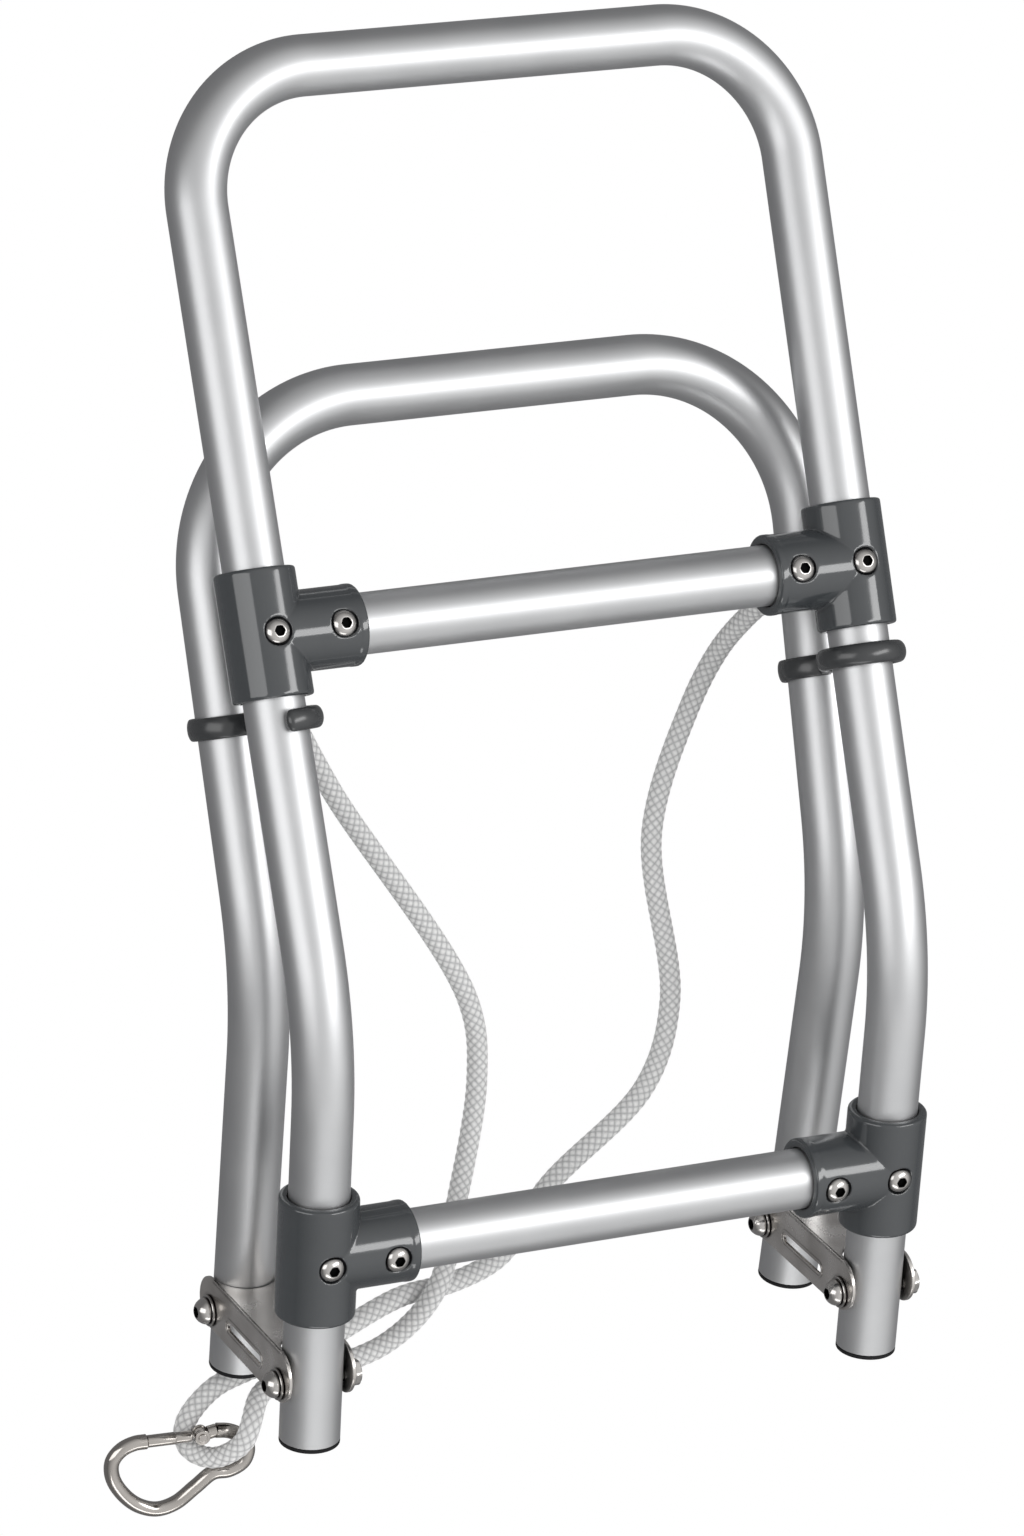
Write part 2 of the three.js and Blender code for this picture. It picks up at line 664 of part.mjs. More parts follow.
// The folded ladder is set down on the ground, with the origin under its middle.
const assembly = new THREE.Group();
assembly.add(ladder);
ladder.updateMatrixWorld(true);
const lying = new THREE.Box3().setFromObject(ladder, true);
const middle = lying.getCenter(new THREE.Vector3());
ladder.position.set(-middle.x, -middle.y, -lying.min.z);

// The rope's route over the ground, from the left hole to the loop at the hook and back to the right hole
const leftRoute = [
  [-131.2, 44.4, 35.3], [-125.8, 46, 42.9], [-119.5, 45.8, 47.2], [-110, 38.5, 43.5], [-101.5, 27, 27],
  [-94, 9, 10], [-75, -29, 6], [-15, -127, 4.8], [-12, -160, 4.8], [-24, -212, 6.8], [-38.5, -246, 15],
  [-59, -268.4, 6.8],
];
const loopRoute = [
  [-100, -276.9, 4.8], [-110, -277, 8], [-121.5, -279.2, 17], [-128.5, -288, 24.3], [-131.5, -295.5, 23],
  [-141.5, -303, 13.5], [-149.5, -299, 6.3], [-150, -290, 4.8], [-137, -276.3, 4.8], [-119, -270.4, 4.8],
  [-109, -267.9, 4.8], [-100, -267.3, 4.8],
];
const rightRoute = [
  [-91, -266.6, 4.8], [-76, -259.4, 4.8], [-50, -249.6, 4.8], [-27, -247.2, 4.8], [-4, -239, 4.8],
  [19.3, -211.7, 4.8], [66, -174.6, 4.8], [78.6, -139.5, 4.8], [72, -66, 4.8], [91, -14, 5.4],
  [102.5, 9, 10], [108, 26, 27], [113, 38.5, 43.5], [119.5, 45.8, 47.2], [125.8, 46, 42.9],
  [131.2, 44.4, 35.3],
];
const ropeRoute = [...leftRoute, ...loopRoute, ...rightRoute].map((place) => new THREE.Vector3(...place));
const loopStart = leftRoute.length;
const loopEnd = loopStart + loopRoute.length - 1;
const ropeCurve = new THREE.CatmullRomCurve3(ropeRoute, false, 'centripetal');

// One stretch of the rope between two places of the route, drawn back a little where it meets the next
function ropeStretch(first, last, steps, gapFirst, gapLast) {
  const spans = ropeRoute.length - 1;
  const stations = Array.from({ length: steps + 1 }, (_, i) => {
    const share = (first + ((last - first) * i) / steps) / spans;
    return { point: ropeCurve.getPoint(share), tangent: ropeCurve.getTangent(share) };
  });
  stations[0].point.addScaledVector(stations[0].tangent, gapFirst);
  stations[steps].point.addScaledVector(stations[steps].tangent, -gapLast);
  return sweep(roundShape(ropeRadius, ropeSides), stations);
}

const halfGap = seatGap / 2;
const strandSteps = 26;
const loopSteps = 28;
addPiece(assembly, 'rope_left_strand', ropeStretch(0, loopStart, strandSteps, 0, halfGap), ropeMaterial);
addPiece(assembly, 'rope_loop', ropeStretch(loopStart, loopEnd, loopSteps, halfGap, halfGap), ropeMaterial);
const routeEnd = ropeRoute.length - 1;
const rightStrand = ropeStretch(loopEnd, routeEnd, strandSteps, halfGap, 0);
addPiece(assembly, 'rope_right_strand', rightStrand, ropeMaterial);

// Snap hook, drawn flat in its own plane with the middle of its small end at the origin
const hook = new THREE.Group();
hook.position.copy(hookPlace);
hook.rotation.set(hookRoll, -hookPitch, 0, 'YXZ');
assembly.add(hook);
const hookWireShares = [
  [-0.67, 0.166], [-0.77, 0.162], [-0.88, 0.116], [-0.956, 0.016], [-0.952, -0.128], [-0.864, -0.292],
  [-0.728, -0.42], [-0.568, -0.476], [-0.41, -0.44], [-0.24, -0.312], [-0.09, -0.2], [0.05, -0.192],
  [0.168, -0.128], [0.204, -0.012], [0.156, 0.1], [0.04, 0.172], [-0.072, 0.192],
];
const hookPivotShares = [-0.2, 0.166];
const hookPoint = ([x, y]) => new THREE.Vector3(x * hookReach, y * hookReach, 0);
const hookWire = hookWireShares.map(hookPoint);
const hookPivot = hookPoint(hookPivotShares);
const hookNose = hookWire[0];

function hookBodyShape() {
  const curve = new THREE.CatmullRomCurve3(hookWire, false, 'centripetal');
  const steps = 2 * (hookWire.length - 1);
  const stations = Array.from({ length: steps + 1 }, (_, i) => (
    { point: curve.getPoint(i / steps), tangent: curve.getTangent(i / steps) }));
  const wire = sweep(roundShape(hookWireRadius, wireSides), stations);
  const reach = hookTailHalfHeight + seatGap;
  const outer = reach + hookCheekHeight;
  const boss = rodBetween(
    hookPivot.clone().setZ(-outer), hookPivot.clone().setZ(outer), hookCheekRadius, smallSides);
  const end = hookWire[hookWire.length - 1];
  const neck = block(end.x - hookPivot.x, 2 * hookTailHalfHeight + 2 * seatGap, 2 * outer);
  neck.translate((end.x + hookPivot.x) / 2, (end.y + hookPivot.y) / 2, 0);
  const gateRoom = rodBetween(
    hookPivot.clone().setZ(-reach), hookPivot.clone().setZ(reach), hookCheekRadius + seatGap, smallSides);
  const rivetHole = crossHole(hookPivot, new THREE.Vector3(0, 0, 1), hookRivetRadius + seatGap);
  return shapeOf(without(joined([wire, boss, neck]), [gateRoom, rivetHole]));
}
addPiece(hook, 'hook_body', hookBodyShape(), steelMaterial);

function gateShape() {
  const rodStart = hookPivot.x - hookCheekRadius - 2 * seatGap;
  const rodEnd = hookNose.x + seatGap;
  const noseEnd = new THREE.Vector3(rodEnd, hookPivot.y, 0);
  const pivotEnd = new THREE.Vector3(rodStart, hookPivot.y, 0);
  const wire = rodBetween(noseEnd, pivotEnd, gateWireRadius, wireSides);
  const low = hookPivot.clone().setZ(-hookTailHalfHeight);
  const high = hookPivot.clone().setZ(hookTailHalfHeight);
  const eye = rodBetween(low, high, hookTailRadius, smallSides);
  const tailLength = hookPivot.x - rodStart + gateWireRadius;
  const tail = block(tailLength, 2 * hookRivetHeadRadius, 2 * hookTailHalfHeight);
  tail.translate(hookPivot.x - tailLength / 2, hookPivot.y, 0);
  const rivetHole = crossHole(hookPivot, new THREE.Vector3(0, 0, 1), hookRivetRadius + seatGap);
  return shapeOf(without(joined([wire, eye, tail]), [rivetHole]));
}
addPiece(hook, 'hook_gate', gateShape(), steelMaterial);

function rivetShape() {
  const outer = hookTailHalfHeight + hookCheekHeight + 2 * seatGap;
  const low = hookPivot.clone().setZ(-outer);
  const high = hookPivot.clone().setZ(outer);
  const head = new THREE.Vector3(0, 0, hookRivetHeadHeight);
  return shapeOf(joined([
    rodBetween(low, high, hookRivetRadius, smallSides),
    rodBetween(low.clone().sub(head), low, hookRivetHeadRadius, smallSides),
    rodBetween(high, high.clone().add(head), hookRivetHeadRadius, smallSides),
  ]));
}
addPiece(hook, 'hook_rivet', rivetShape(), steelMaterial);

export default assembly;
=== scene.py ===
import json
import math

import bpy
import numpy as np
from mathutils import Matrix, Vector


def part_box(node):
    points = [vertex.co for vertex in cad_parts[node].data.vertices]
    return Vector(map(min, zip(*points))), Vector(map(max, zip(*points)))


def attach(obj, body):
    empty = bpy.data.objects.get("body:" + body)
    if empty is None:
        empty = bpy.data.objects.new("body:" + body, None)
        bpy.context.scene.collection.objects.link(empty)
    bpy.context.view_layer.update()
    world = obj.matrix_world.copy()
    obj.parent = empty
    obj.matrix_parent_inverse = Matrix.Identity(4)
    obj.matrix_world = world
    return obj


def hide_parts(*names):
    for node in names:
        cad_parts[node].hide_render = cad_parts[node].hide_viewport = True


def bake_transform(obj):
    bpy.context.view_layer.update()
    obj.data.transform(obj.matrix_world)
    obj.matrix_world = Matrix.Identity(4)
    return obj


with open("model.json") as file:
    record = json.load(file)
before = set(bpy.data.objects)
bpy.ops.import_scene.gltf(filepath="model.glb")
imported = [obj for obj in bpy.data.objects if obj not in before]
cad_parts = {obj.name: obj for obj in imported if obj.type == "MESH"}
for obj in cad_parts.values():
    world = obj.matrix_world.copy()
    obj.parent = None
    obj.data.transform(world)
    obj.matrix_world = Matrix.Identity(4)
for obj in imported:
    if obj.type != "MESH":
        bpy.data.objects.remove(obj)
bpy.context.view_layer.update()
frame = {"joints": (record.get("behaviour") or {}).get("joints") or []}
scene = bpy.context.scene
scene.view_settings.view_transform = "Standard"

# Camera
# It stands where the photographer stood: high above the foot of the ladder and a little to
# its left, far away, so that the tubes hardly taper.
camera_data = bpy.data.cameras.new("camera")
camera_data.sensor_width = 36
camera_data.lens = 178.75
camera_data.clip_end = 50
camera = bpy.data.objects.new("camera", camera_data)
scene.collection.objects.link(camera)
eye = Vector((-1.30474, 0.63765, 2.80062))
look = Vector((0.4154684, -0.2115405, -0.8846675))
upright = Vector((0.1163957, 0.9769499, -0.1789438))
turn = Matrix((look.cross(upright), upright, -look)).transposed()
camera.matrix_world = Matrix.Translation(eye) @ turn.to_4x4()
scene.camera = camera

# Rope
# White braid, one unbroken length from the hole in the left rear leg over the ground to the
# snap hook's eye and back to the right rear leg. Its crossing strands stand up as small bright
# lozenges with grey between them: the grey is painted shade in the crevices between the
# strands. The route's points are the CAD part's, in millimetres.
rope_route = [
    (-131.2, 44.4, 35.3), (-125.8, 46, 42.9), (-119.5, 45.8, 47.2), (-110, 38.5, 43.5),
    (-101.5, 27, 27), (-94, 9, 10), (-75, -29, 6), (-15, -127, 4.8), (-12, -160, 4.8),
    (-24, -212, 6.8), (-38.5, -246, 15), (-59, -268.4, 6.8), (-100, -276.9, 4.8),
    (-110, -277, 8), (-121.5, -279.2, 17), (-128.5, -288, 24.3), (-131.5, -295.5, 23),
    (-141.5, -303, 13.5), (-149.5, -299, 6.3), (-150, -290, 4.8), (-137, -276.3, 4.8),
    (-119, -270.4, 4.8), (-109, -267.9, 4.8), (-100, -267.3, 4.8), (-91, -266.6, 4.8),
    (-76, -259.4, 4.8), (-50, -249.6, 4.8), (-27, -247.2, 4.8), (-4, -239, 4.8),
    (19.3, -211.7, 4.8), (66, -174.6, 4.8), (78.6, -139.5, 4.8), (72, -66, 4.8),
    (91, -14, 5.4), (102.5, 9, 10), (108, 26, 27), (113, 38.5, 43.5), (119.5, 45.8, 47.2),
    (125.8, 46, 42.9), (131.2, 44.4, 35.3),
]
ROPE_RADIUS = 0.0045
SPAN_POINTS = 240


def smooth_path(points, step):
    """Centripetal curve through the points, with stations about a step apart."""
    p = np.array(points, float)
    p = np.vstack([2 * p[0] - p[1], p, 2 * p[-1] - p[-2]])
    fine = []
    for i in range(1, len(p) - 2):
        a, b, c, d = p[i - 1:i + 3]
        t0 = 0.0
        t1 = t0 + np.linalg.norm(b - a) ** 0.5
        t2 = t1 + np.linalg.norm(c - b) ** 0.5
        t3 = t2 + np.linalg.norm(d - c) ** 0.5
        for t in np.linspace(t1, t2, SPAN_POINTS, endpoint=False):
            ab = ((t1 - t) * a + (t - t0) * b) / (t1 - t0)
            bc = ((t2 - t) * b + (t - t1) * c) / (t2 - t1)
            cd = ((t3 - t) * c + (t - t2) * d) / (t3 - t2)
            abc = ((t2 - t) * ab + (t - t0) * bc) / (t2 - t0)
            bcd = ((t3 - t) * bc + (t - t1) * cd) / (t3 - t1)
            fine.append(((t2 - t) * abc + (t - t1) * bcd) / (t2 - t1))
    fine.append(p[-2])
    fine = np.array(fine)
    run = np.concatenate([[0], np.cumsum(np.linalg.norm(np.diff(fine, axis=0), axis=1))])
    stations = np.linspace(0, run[-1], max(2, int(run[-1] / step) + 1))
    return np.column_stack([np.interp(stations, run, fine[:, k]) for k in range(3)])


def eased(path, reach, step):
    """Takes the sharpness out of the bends and keeps the two ends where they are."""
    count = int(3 * reach / step)
    weights = np.exp(-0.5 * (np.arange(-count, count + 1) * step / reach) ** 2)
    before = 2 * path[0] - path[count:0:-1]
    after = 2 * path[-1] - path[-2:-count - 2:-1]
    longer = np.vstack([before, path, after])
    return np.column_stack([
        np.convolve(longer[:, k], weights / weights.sum(), "valid") for k in range(3)])


def mesh_object(name, vertices, faces):
    mesh = bpy.data.meshes.new(name)
    mesh.from_pydata([tuple(v) for v in vertices], [], faces)
    mesh.update()
    obj = bpy.data.objects.new(name, mesh)
    scene.collection.objects.link(obj)
    return obj


def tube(name, path, radius, sides, swell=None):
    """Round tube along a path. Each vertex keeps its run along it and its turn round it."""
    path = np.array(path, float)
    run = np.concatenate([[0], np.cumsum(np.linalg.norm(np.diff(path, axis=0), axis=1))])
    ahead = np.gradient(path, axis=0)
    ahead /= np.linalg.norm(ahead, axis=1)[:, None]
    side = np.cross(ahead[0], (0.0, 0.0, 1.0))
    if np.linalg.norm(side) < 0.1:
        side = np.cross(ahead[0], (0.0, 1.0, 0.0))
    angles = np.arange(sides) * 2 * math.pi / sides
    rings = []
    for i, forward in enumerate(ahead):
        side = side - forward * side.dot(forward)
        side = side / np.linalg.norm(side)
        other = np.cross(forward, side)
        ring_radius = np.full(sides, radius)
        if swell is not None:
            ring_radius = radius + swell(run[i], angles / (2 * math.pi))
        ring = np.outer(np.cos(angles), side) + np.outer(np.sin(angles), other)
        rings.append(path[i] + ring * ring_radius[:, None])
    count = len(path)
    faces = []
    for i in range(count - 1):
        for k in range(sides):
            a = i * sides + k
            b = i * sides + (k + 1) % sides
            faces.append((a, b, b + sides, a + sides))
    faces.append(tuple(range(sides))[::-1])
    faces.append(tuple(range((count - 1) * sides, count * sides)))
    obj = mesh_object(name, np.vstack(rings), faces)
    along = obj.data.attributes.new("run", "FLOAT", "POINT")
    along.data.foreach_set("value", np.repeat(run, sides).astype(np.float32))
    obj.data.polygons.foreach_set("use_smooth", [True] * len(obj.data.polygons))
    round_it = obj.data.attributes.new("turn", "FLOAT", "CORNER")
    turns = []
    for face in obj.data.polygons:
        columns = [v % sides for v in face.vertices]
        wraps = len(columns) == 4 and max(columns) - min(columns) > 1
        turns += [(sides if wraps and c == 0 else c) / sides for c in columns]
    round_it.data.foreach_set("value", np.array(turns, np.float32))
    return obj


class Socket:
    """A node's socket with operators, so that a pattern reads as a formula."""

    def __init__(self, tree, value):
        self.tree = tree
        self.value = value

    def math(self, operation, *others):
        node = self.tree.nodes.new("ShaderNodeMath")
        node.operation = operation
        for socket, value in zip(node.inputs, (self, *others)):
            Socket.put(self.tree, socket, value)
        return Socket(self.tree, node.outputs[0])

    @staticmethod
    def put(tree, socket, value):
        if isinstance(value, Socket):
            tree.links.new(value.value, socket)
        else:
            socket.default_value = value

    def node(self, kind, inputs=(), output=0, **settings):
        made = self.tree.nodes.new(kind)
        for key, value in settings.items():
            setattr(made, key, value)
        for key, value in dict(inputs).items():
            Socket.put(self.tree, made.inputs[key], value)
        return Socket(self.tree, made.outputs[output])

    def __add__(self, other):
        return self.math("ADD", other)

    def __sub__(self, other):
        return self.math("SUBTRACT", other)

    def __mul__(self, other):
        return self.math("MULTIPLY", other)

    def __truediv__(self, other):
        return self.math("DIVIDE", other)

    def __rsub__(self, other):
        return (self * -1.0) + other

    __radd__ = __add__
    __rmul__ = __mul__


def new_material(name, **constants):
    """A material with its Principled shader's constants set, and a start for formulas."""
    material = bpy.data.materials.new(name)
    material.use_nodes = True
    shader = next(n for n in material.node_tree.nodes if n.type == "BSDF_PRINCIPLED")
    for key, value in constants.items():
        shader.inputs[key.replace("_", " ")].default_value = value
    return material, shader, Socket(material.node_tree, None)


def mix_colours(start, share, first, second):
    return start.node("ShaderNodeMix", {0: share, 6: first, 7: second}, 2, data_type="RGBA")


def noise_of(start, scale, detail=3.0, coordinates=None):
    place = coordinates or start.node("ShaderNodeTexCoord", output=3)
    return start.node(
        "ShaderNodeTexNoise", {"Vector": place, "Scale": scale, "Detail": detail}, "Fac")


BRAID_PITCH = 0.0038
BRAID_COUNT = 14
BRAID_HEIGHT = 0.0003


def braid(run, turn_share):
    """How far the rope's skin lies below its full radius, at a run along and a turn round it."""
    first = run / BRAID_PITCH + turn_share * BRAID_COUNT / 2
    second = run / BRAID_PITCH - turn_share * BRAID_COUNT / 2
    return BRAID_HEIGHT * (np.abs(np.sin(math.pi * first) * np.sin(math.pi * second)) - 1)


ROPE_STEP = 0.5
BEND_EASE = 2.2
ROPE_SIDES = 40
rope_path = eased(smooth_path(rope_route, ROPE_STEP), BEND_EASE, ROPE_STEP) / 1000
rope = tube("rope", rope_path, ROPE_RADIUS, ROPE_SIDES, braid)
rope_material, rope_shader, s = new_material(
    "braided_rope", Roughness=0.85, Metallic=0.0)
run = s.node("ShaderNodeAttribute", output=2, attribute_name="run")
turned = s.node("ShaderNodeAttribute", output=2, attribute_name="turn")
strand_one = (run / BRAID_PITCH + turned * (BRAID_COUNT / 2)) * math.pi
strand_two = (run / BRAID_PITCH - turned * (BRAID_COUNT / 2)) * math.pi
lozenge = (strand_one.math("SINE") * strand_two.math("SINE")).math("ABSOLUTE")
painted_strand_light = lozenge.math("POWER", 0.6)
fuzz = noise_of(s, 900.0)
# Light on the strands' tops, and painted shade, grey, in the crevices between them.
rope_colour = mix_colours(
    s, painted_strand_light * 0.7 + fuzz * 0.45, (0.30, 0.30, 0.31, 1), (0.93, 0.93, 0.92, 1))
Socket.put(s.tree, rope_shader.inputs["Base Color"], rope_colour)
rope_bump = s.node(
    "ShaderNodeBump", {"Height": lozenge + fuzz * 0.3, "Strength": 0.5, "Distance": 0.0003})
Socket.put(s.tree, rope_shader.inputs["Normal"], rope_bump)
rope.data.materials.append(rope_material)
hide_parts("rope_left_strand", "rope_loop", "rope_right_strand")
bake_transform(rope)

# Frame tubes
# Each frame is one anodised aluminium tube, bent at two knees and two arch corners in a plane
# of its own. The metal has soft broad highlights, a very fine grain and faint handling marks.
# Along is measured from a stub's end, and lift from the leg's axis towards the front.
TUBE_RADIUS = 0.0125
KNEE_ALONG = 0.178
KNEE_ANGLE = math.radians(27.1)
FOOT_SPAN = 0.1275
CENTRE_X = 0.0000289
BOLT_ALONG = 0.026
# A foot's two hinge bolts lie on the axes of the two folds. A clip turns on the upper leg that
# its ring is on, so its axis and the angle of the knee give the tilt of that leg's frame.
joints = {joint["name"]: joint for joint in frame["joints"]}
FRONT_BOLT = joints["front_fold"]["pos_m"][1:]
REAR_BOLT = joints["link_fold"]["pos_m"][1:]
front_leg_axis = joints["clip_right_swing"]["axis"]
rear_leg_axis = joints["clip_left_swing"]["axis"]
FRONT_TILT = KNEE_ANGLE + math.atan2(front_leg_axis[2], front_leg_axis[1])
REAR_TILT = KNEE_ANGLE + math.atan2(rear_leg_axis[2], rear_leg_axis[1])
FRONT = {"tilt": FRONT_TILT, "bolt": FRONT_BOLT, "upper": 0.386, "span": 0.13375, "corner": 0.054}
REAR = {"tilt": REAR_TILT, "bolt": REAR_BOLT, "upper": 0.230, "span": 0.136, "corner": 0.071}


def in_frame_plane(which, x, along, lift):
    """A point given in a frame's own tilted plane, as a point of the whole part."""
    cosine, sine = math.cos(which["tilt"]), math.sin(which["tilt"])
    y, z = along - BOLT_ALONG, lift
    return Vector((
        x + CENTRE_X, which["bolt"][0] + y * cosine - z * sine,
        which["bolt"][1] + y * sine + z * cosine))


def leg_point(which, side, along, lift=0.0):
    """A point on a leg's axis, or lifted off it. Past the knee it follows the bent run."""
    beyond = max(0.0, along - KNEE_ALONG)
    bent = KNEE_ANGLE if beyond > 0 else 0.0
    spread = (which["span"] - FOOT_SPAN) * along / (KNEE_ALONG + which["upper"])
    return in_frame_plane(
        which, side * (FOOT_SPAN + spread),
        along - beyond * (1 - math.cos(KNEE_ANGLE)) + lift * math.sin(bent),
        lift * math.cos(bent) - beyond * math.sin(KNEE_ANGLE))


def leg_direction(which, side, along):
    """Which way a leg runs there, towards its arch."""
    low, high = (0.0, KNEE_ALONG) if along <= KNEE_ALONG else (
        KNEE_ALONG, KNEE_ALONG + which["upper"])
    return (leg_point(which, side, high) - leg_point(which, side, low)).normalized()


def lift_direction(which, along):
    return (leg_point(which, 1, along, 1.0) - leg_point(which, 1, along)).normalized()


def filleted(corners, radii, step=math.radians(2), longest=0.02):
    """Path of straight runs joined by arcs, fine enough to look round."""
    path = [corners[0]]
    for i in range(1, len(corners) - 1):
        before = (corners[i] - corners[i - 1]).normalized()
        after = (corners[i + 1] - corners[i]).normalized()
        angle = before.angle(after)
        centre = corners[i] + (after - before).normalized() * radii[i - 1] / math.cos(angle / 2)
        count = max(2, int(angle / step))
        for k in range(count + 1):
            part = angle * k / count
            outward = before * math.cos(angle - part) - after * math.cos(part)
            path.append(centre + outward * radii[i - 1] / math.sin(angle))
    path.append(corners[-1])
    even = [path[0]]
    for a, b in zip(path, path[1:]):
        pieces = max(1, int((b - a).length / longest))
        even += [a.lerp(b, k / pieces) for k in range(1, pieces + 1)]
    return even


aluminium, shader, s = new_material("satin_aluminium", Metallic=1.0)
grain = noise_of(s, 2600.0, 2.0)
patches = noise_of(s, 35.0, 4.0)
tone = mix_colours(s, patches, (0.60, 0.605, 0.615, 1), (0.70, 0.705, 0.71, 1))
Socket.put(s.tree, shader.inputs["Base Color"], tone)
Socket.put(s.tree, shader.inputs["Roughness"], grain * 0.05 + patches * 0.05 + 0.39)
Socket.put(s.tree, shader.inputs["Normal"], s.node(
    "ShaderNodeBump", {"Height": grain, "Strength": 0.08, "Distance": 0.0001}))

KNEE_BEND = 0.1465
TUBE_SIDES = 72


def new_tree(name, inputs):
    """A geometry tree with named inputs, and a start for what it makes from them."""
    tree = bpy.data.node_groups.new(name, "GeometryNodeTree")
    for label, kind in inputs:
        tree.interface.new_socket(label, in_out="INPUT", socket_type="NodeSocket" + kind)
    tree.interface.new_socket("Result", in_out="OUTPUT", socket_type="NodeSocketGeometry")
    given = tree.nodes.new("NodeGroupInput")
    return Socket(tree, None), {label: Socket(tree, given.outputs[label]) for label, _ in inputs}


def end_tree(start, shape, material):
    """Ends a tree: its copies are made real and given their material."""
    real = start.node("GeometryNodeRealizeInstances", {0: shape})
    dressed = start.node("GeometryNodeSetMaterial", {"Geometry": real, "Material": material})
    output = start.tree.nodes.new("NodeGroupOutput")
    start.tree.links.new(dressed.value, output.inputs["Result"])


def grown(obj, start, values):
    """Runs a tree on an object, each input set by its identifier, and keeps a plain mesh."""
    modifier = obj.modifiers.new(start.tree.name, "NODES")
    modifier.node_group = start.tree
    for item in start.tree.interface.items_tree:
        if item.in_out == "INPUT" and item.name in values:
            modifier[item.identifier] = values[item.name]
    dg = bpy.context.evaluated_depsgraph_get()
    obj.data = bpy.data.meshes.new_from_object(
        obj.evaluated_get(dg), preserve_all_data_layers=True, depsgraph=dg)
    obj.modifiers.clear()
    return obj


swept, given = new_tree("tube_along_a_path", (
    ("Path", "Geometry"), ("Radius", "Float"), ("Sides", "Int"), ("Metal", "Material")))
line = swept.node("GeometryNodeMeshToCurve", {0: given["Path"]})
section = swept.node(
    "GeometryNodeCurvePrimitiveCircle", {"Resolution": given["Sides"], "Radius": given["Radius"]})
skin = swept.node("GeometryNodeCurveToMesh", {"Curve": line, "Profile Curve": section})
end_tree(swept, swept.node("GeometryNodeSetShadeSmooth", {0: skin}), given["Metal"])


def aluminium_tube(name, path, body, node):
    """An open tube of the frames' size along a path, which stands for one CAD node."""
    mesh = bpy.data.meshes.new(name)
    mesh.from_pydata([tuple(v) for v in path], [(k, k + 1) for k in range(len(path) - 1)], [])
    piece = bpy.data.objects.new(name, mesh)
    scene.collection.objects.link(piece)
    grown(piece, swept, {"Radius": TUBE_RADIUS, "Sides": TUBE_SIDES, "Metal": aluminium})
    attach(piece, body)
    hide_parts(node)


for which, name in ((FRONT, "front_frame"), (REAR, "rear_frame")):
    top = KNEE_ALONG + which["upper"]
    corners = [
        leg_point(which, -1, 0.0), leg_point(which, -1, KNEE_ALONG), leg_point(which, -1, top),
        leg_point(which, 1, top), leg_point(which, 1, KNEE_ALONG), leg_point(which, 1, 0.0)]
    radii = [KNEE_BEND, which["corner"], which["corner"], KNEE_BEND]
    aluminium_tube(name + "_bent_tube", filleted(corners, radii), name, name + "_tube")

# Rungs
# Two straight tubes of the same aluminium between the legs of the front frame. Their ends
# stop inside the T joints.
RUNGS = {"upper": 0.3388, "lower": 0.082}
RUNG_GAP = 0.0135
RUNG_STEPS = 12
for level, along in RUNGS.items():
    ends = [leg_point(FRONT, side, along) for side in (-1, 1)]
    inward = (ends[1] - ends[0]).normalized() * RUNG_GAP
    steps = [ends[0] + inward, ends[1] - inward]
    path = [steps[0].lerp(steps[1], k / RUNG_STEPS) for k in range(RUNG_STEPS + 1)]
    aluminium_tube(level + "_rung_tube", path, "front_frame", level + "_rung")

# T joints
# Glossy dark moulded plastic: a sleeve on the leg and a branch on the rung, melted together
# with a soft saddle line. The branch's mouth has a slight bead, and each bolt head and nut has
# a round recess.
TEE_RADIUS = 0.0165
TEE_BODY = 0.052
TEE_BRANCH = 0.039
TEE_EDGE = 0.0012
BEAD_RISE = 0.0002
BEAD_WIDTH = 0.0035
BEAD_EDGE = 0.0005
BRANCH_BOLT = 0.0288
RECESS_RADIUS = 0.0058
RECESS_DEPTH = 0.0017
RECESS_CUT = 0.01
BORE_REACH = 0.03
BRANCH_REACH = 0.05
TEE_VOXEL = 0.00045
SEAT_GAP = 0.0003


def spun(rings, sides=48):
    """Vertices and faces along +Z from (radius, height) or (radius, height, six-sided)."""
    vertices, faces = [], []
    for ring in rings:
        radius, height = ring[0], ring[1]
        for k in range(sides):
            angle = 2 * math.pi * k / sides
            r = radius
            if len(ring) > 2:
                within = (angle % (math.pi / 3)) - math.pi / 6
                r = min(radius / math.cos(within), ring[2])
            vertices.append(Vector((r * math.cos(angle), r * math.sin(angle), height)))
    for i in range(len(rings) - 1):
        for k in range(sides):
            a, b = i * sides + k, i * sides + (k + 1) % sides
            faces.append((a, b, b + sides, a + sides))
    faces.append(tuple(range(sides))[::-1])
    faces.append(tuple(range((len(rings) - 1) * sides, len(rings) * sides)))
    return vertices, faces


def placed(shape, base, direction):
    """A shape turned from +Z to a direction and moved to its base."""
    turn_it = Vector((0, 0, 1)).rotation_difference(direction)
    return [base + turn_it @ v for v in shape[0]], *shape[1:]


def join_shapes(name, shapes, angle=math.radians(42)):
    """One object of several shapes. A shape's third value counts its last, sunken vertices."""
    vertices, faces, sunken = [], [], []
    for shape in shapes:
        start = len(vertices)
        vertices += shape[0]
        deep = shape[2] if len(shape) > 2 else 0
        sunken += [0.0] * (len(shape[0]) - deep) + [1.0] * deep
        faces += [tuple(i + start for i in face) for face in shape[1]]
    obj = mesh_object(name, vertices, faces)
    # The recess attribute marks the sunken vertices; the steel paints them near black, as painted
    # shade in the sockets.
    recess = obj.data.attributes.new("recess", "FLOAT", "POINT")
    recess.data.foreach_set("value", sunken)
    obj.data.set_sharp_from_angle(angle=angle)
    obj.data.polygons.foreach_set("use_smooth", [True] * len(faces))
    return obj


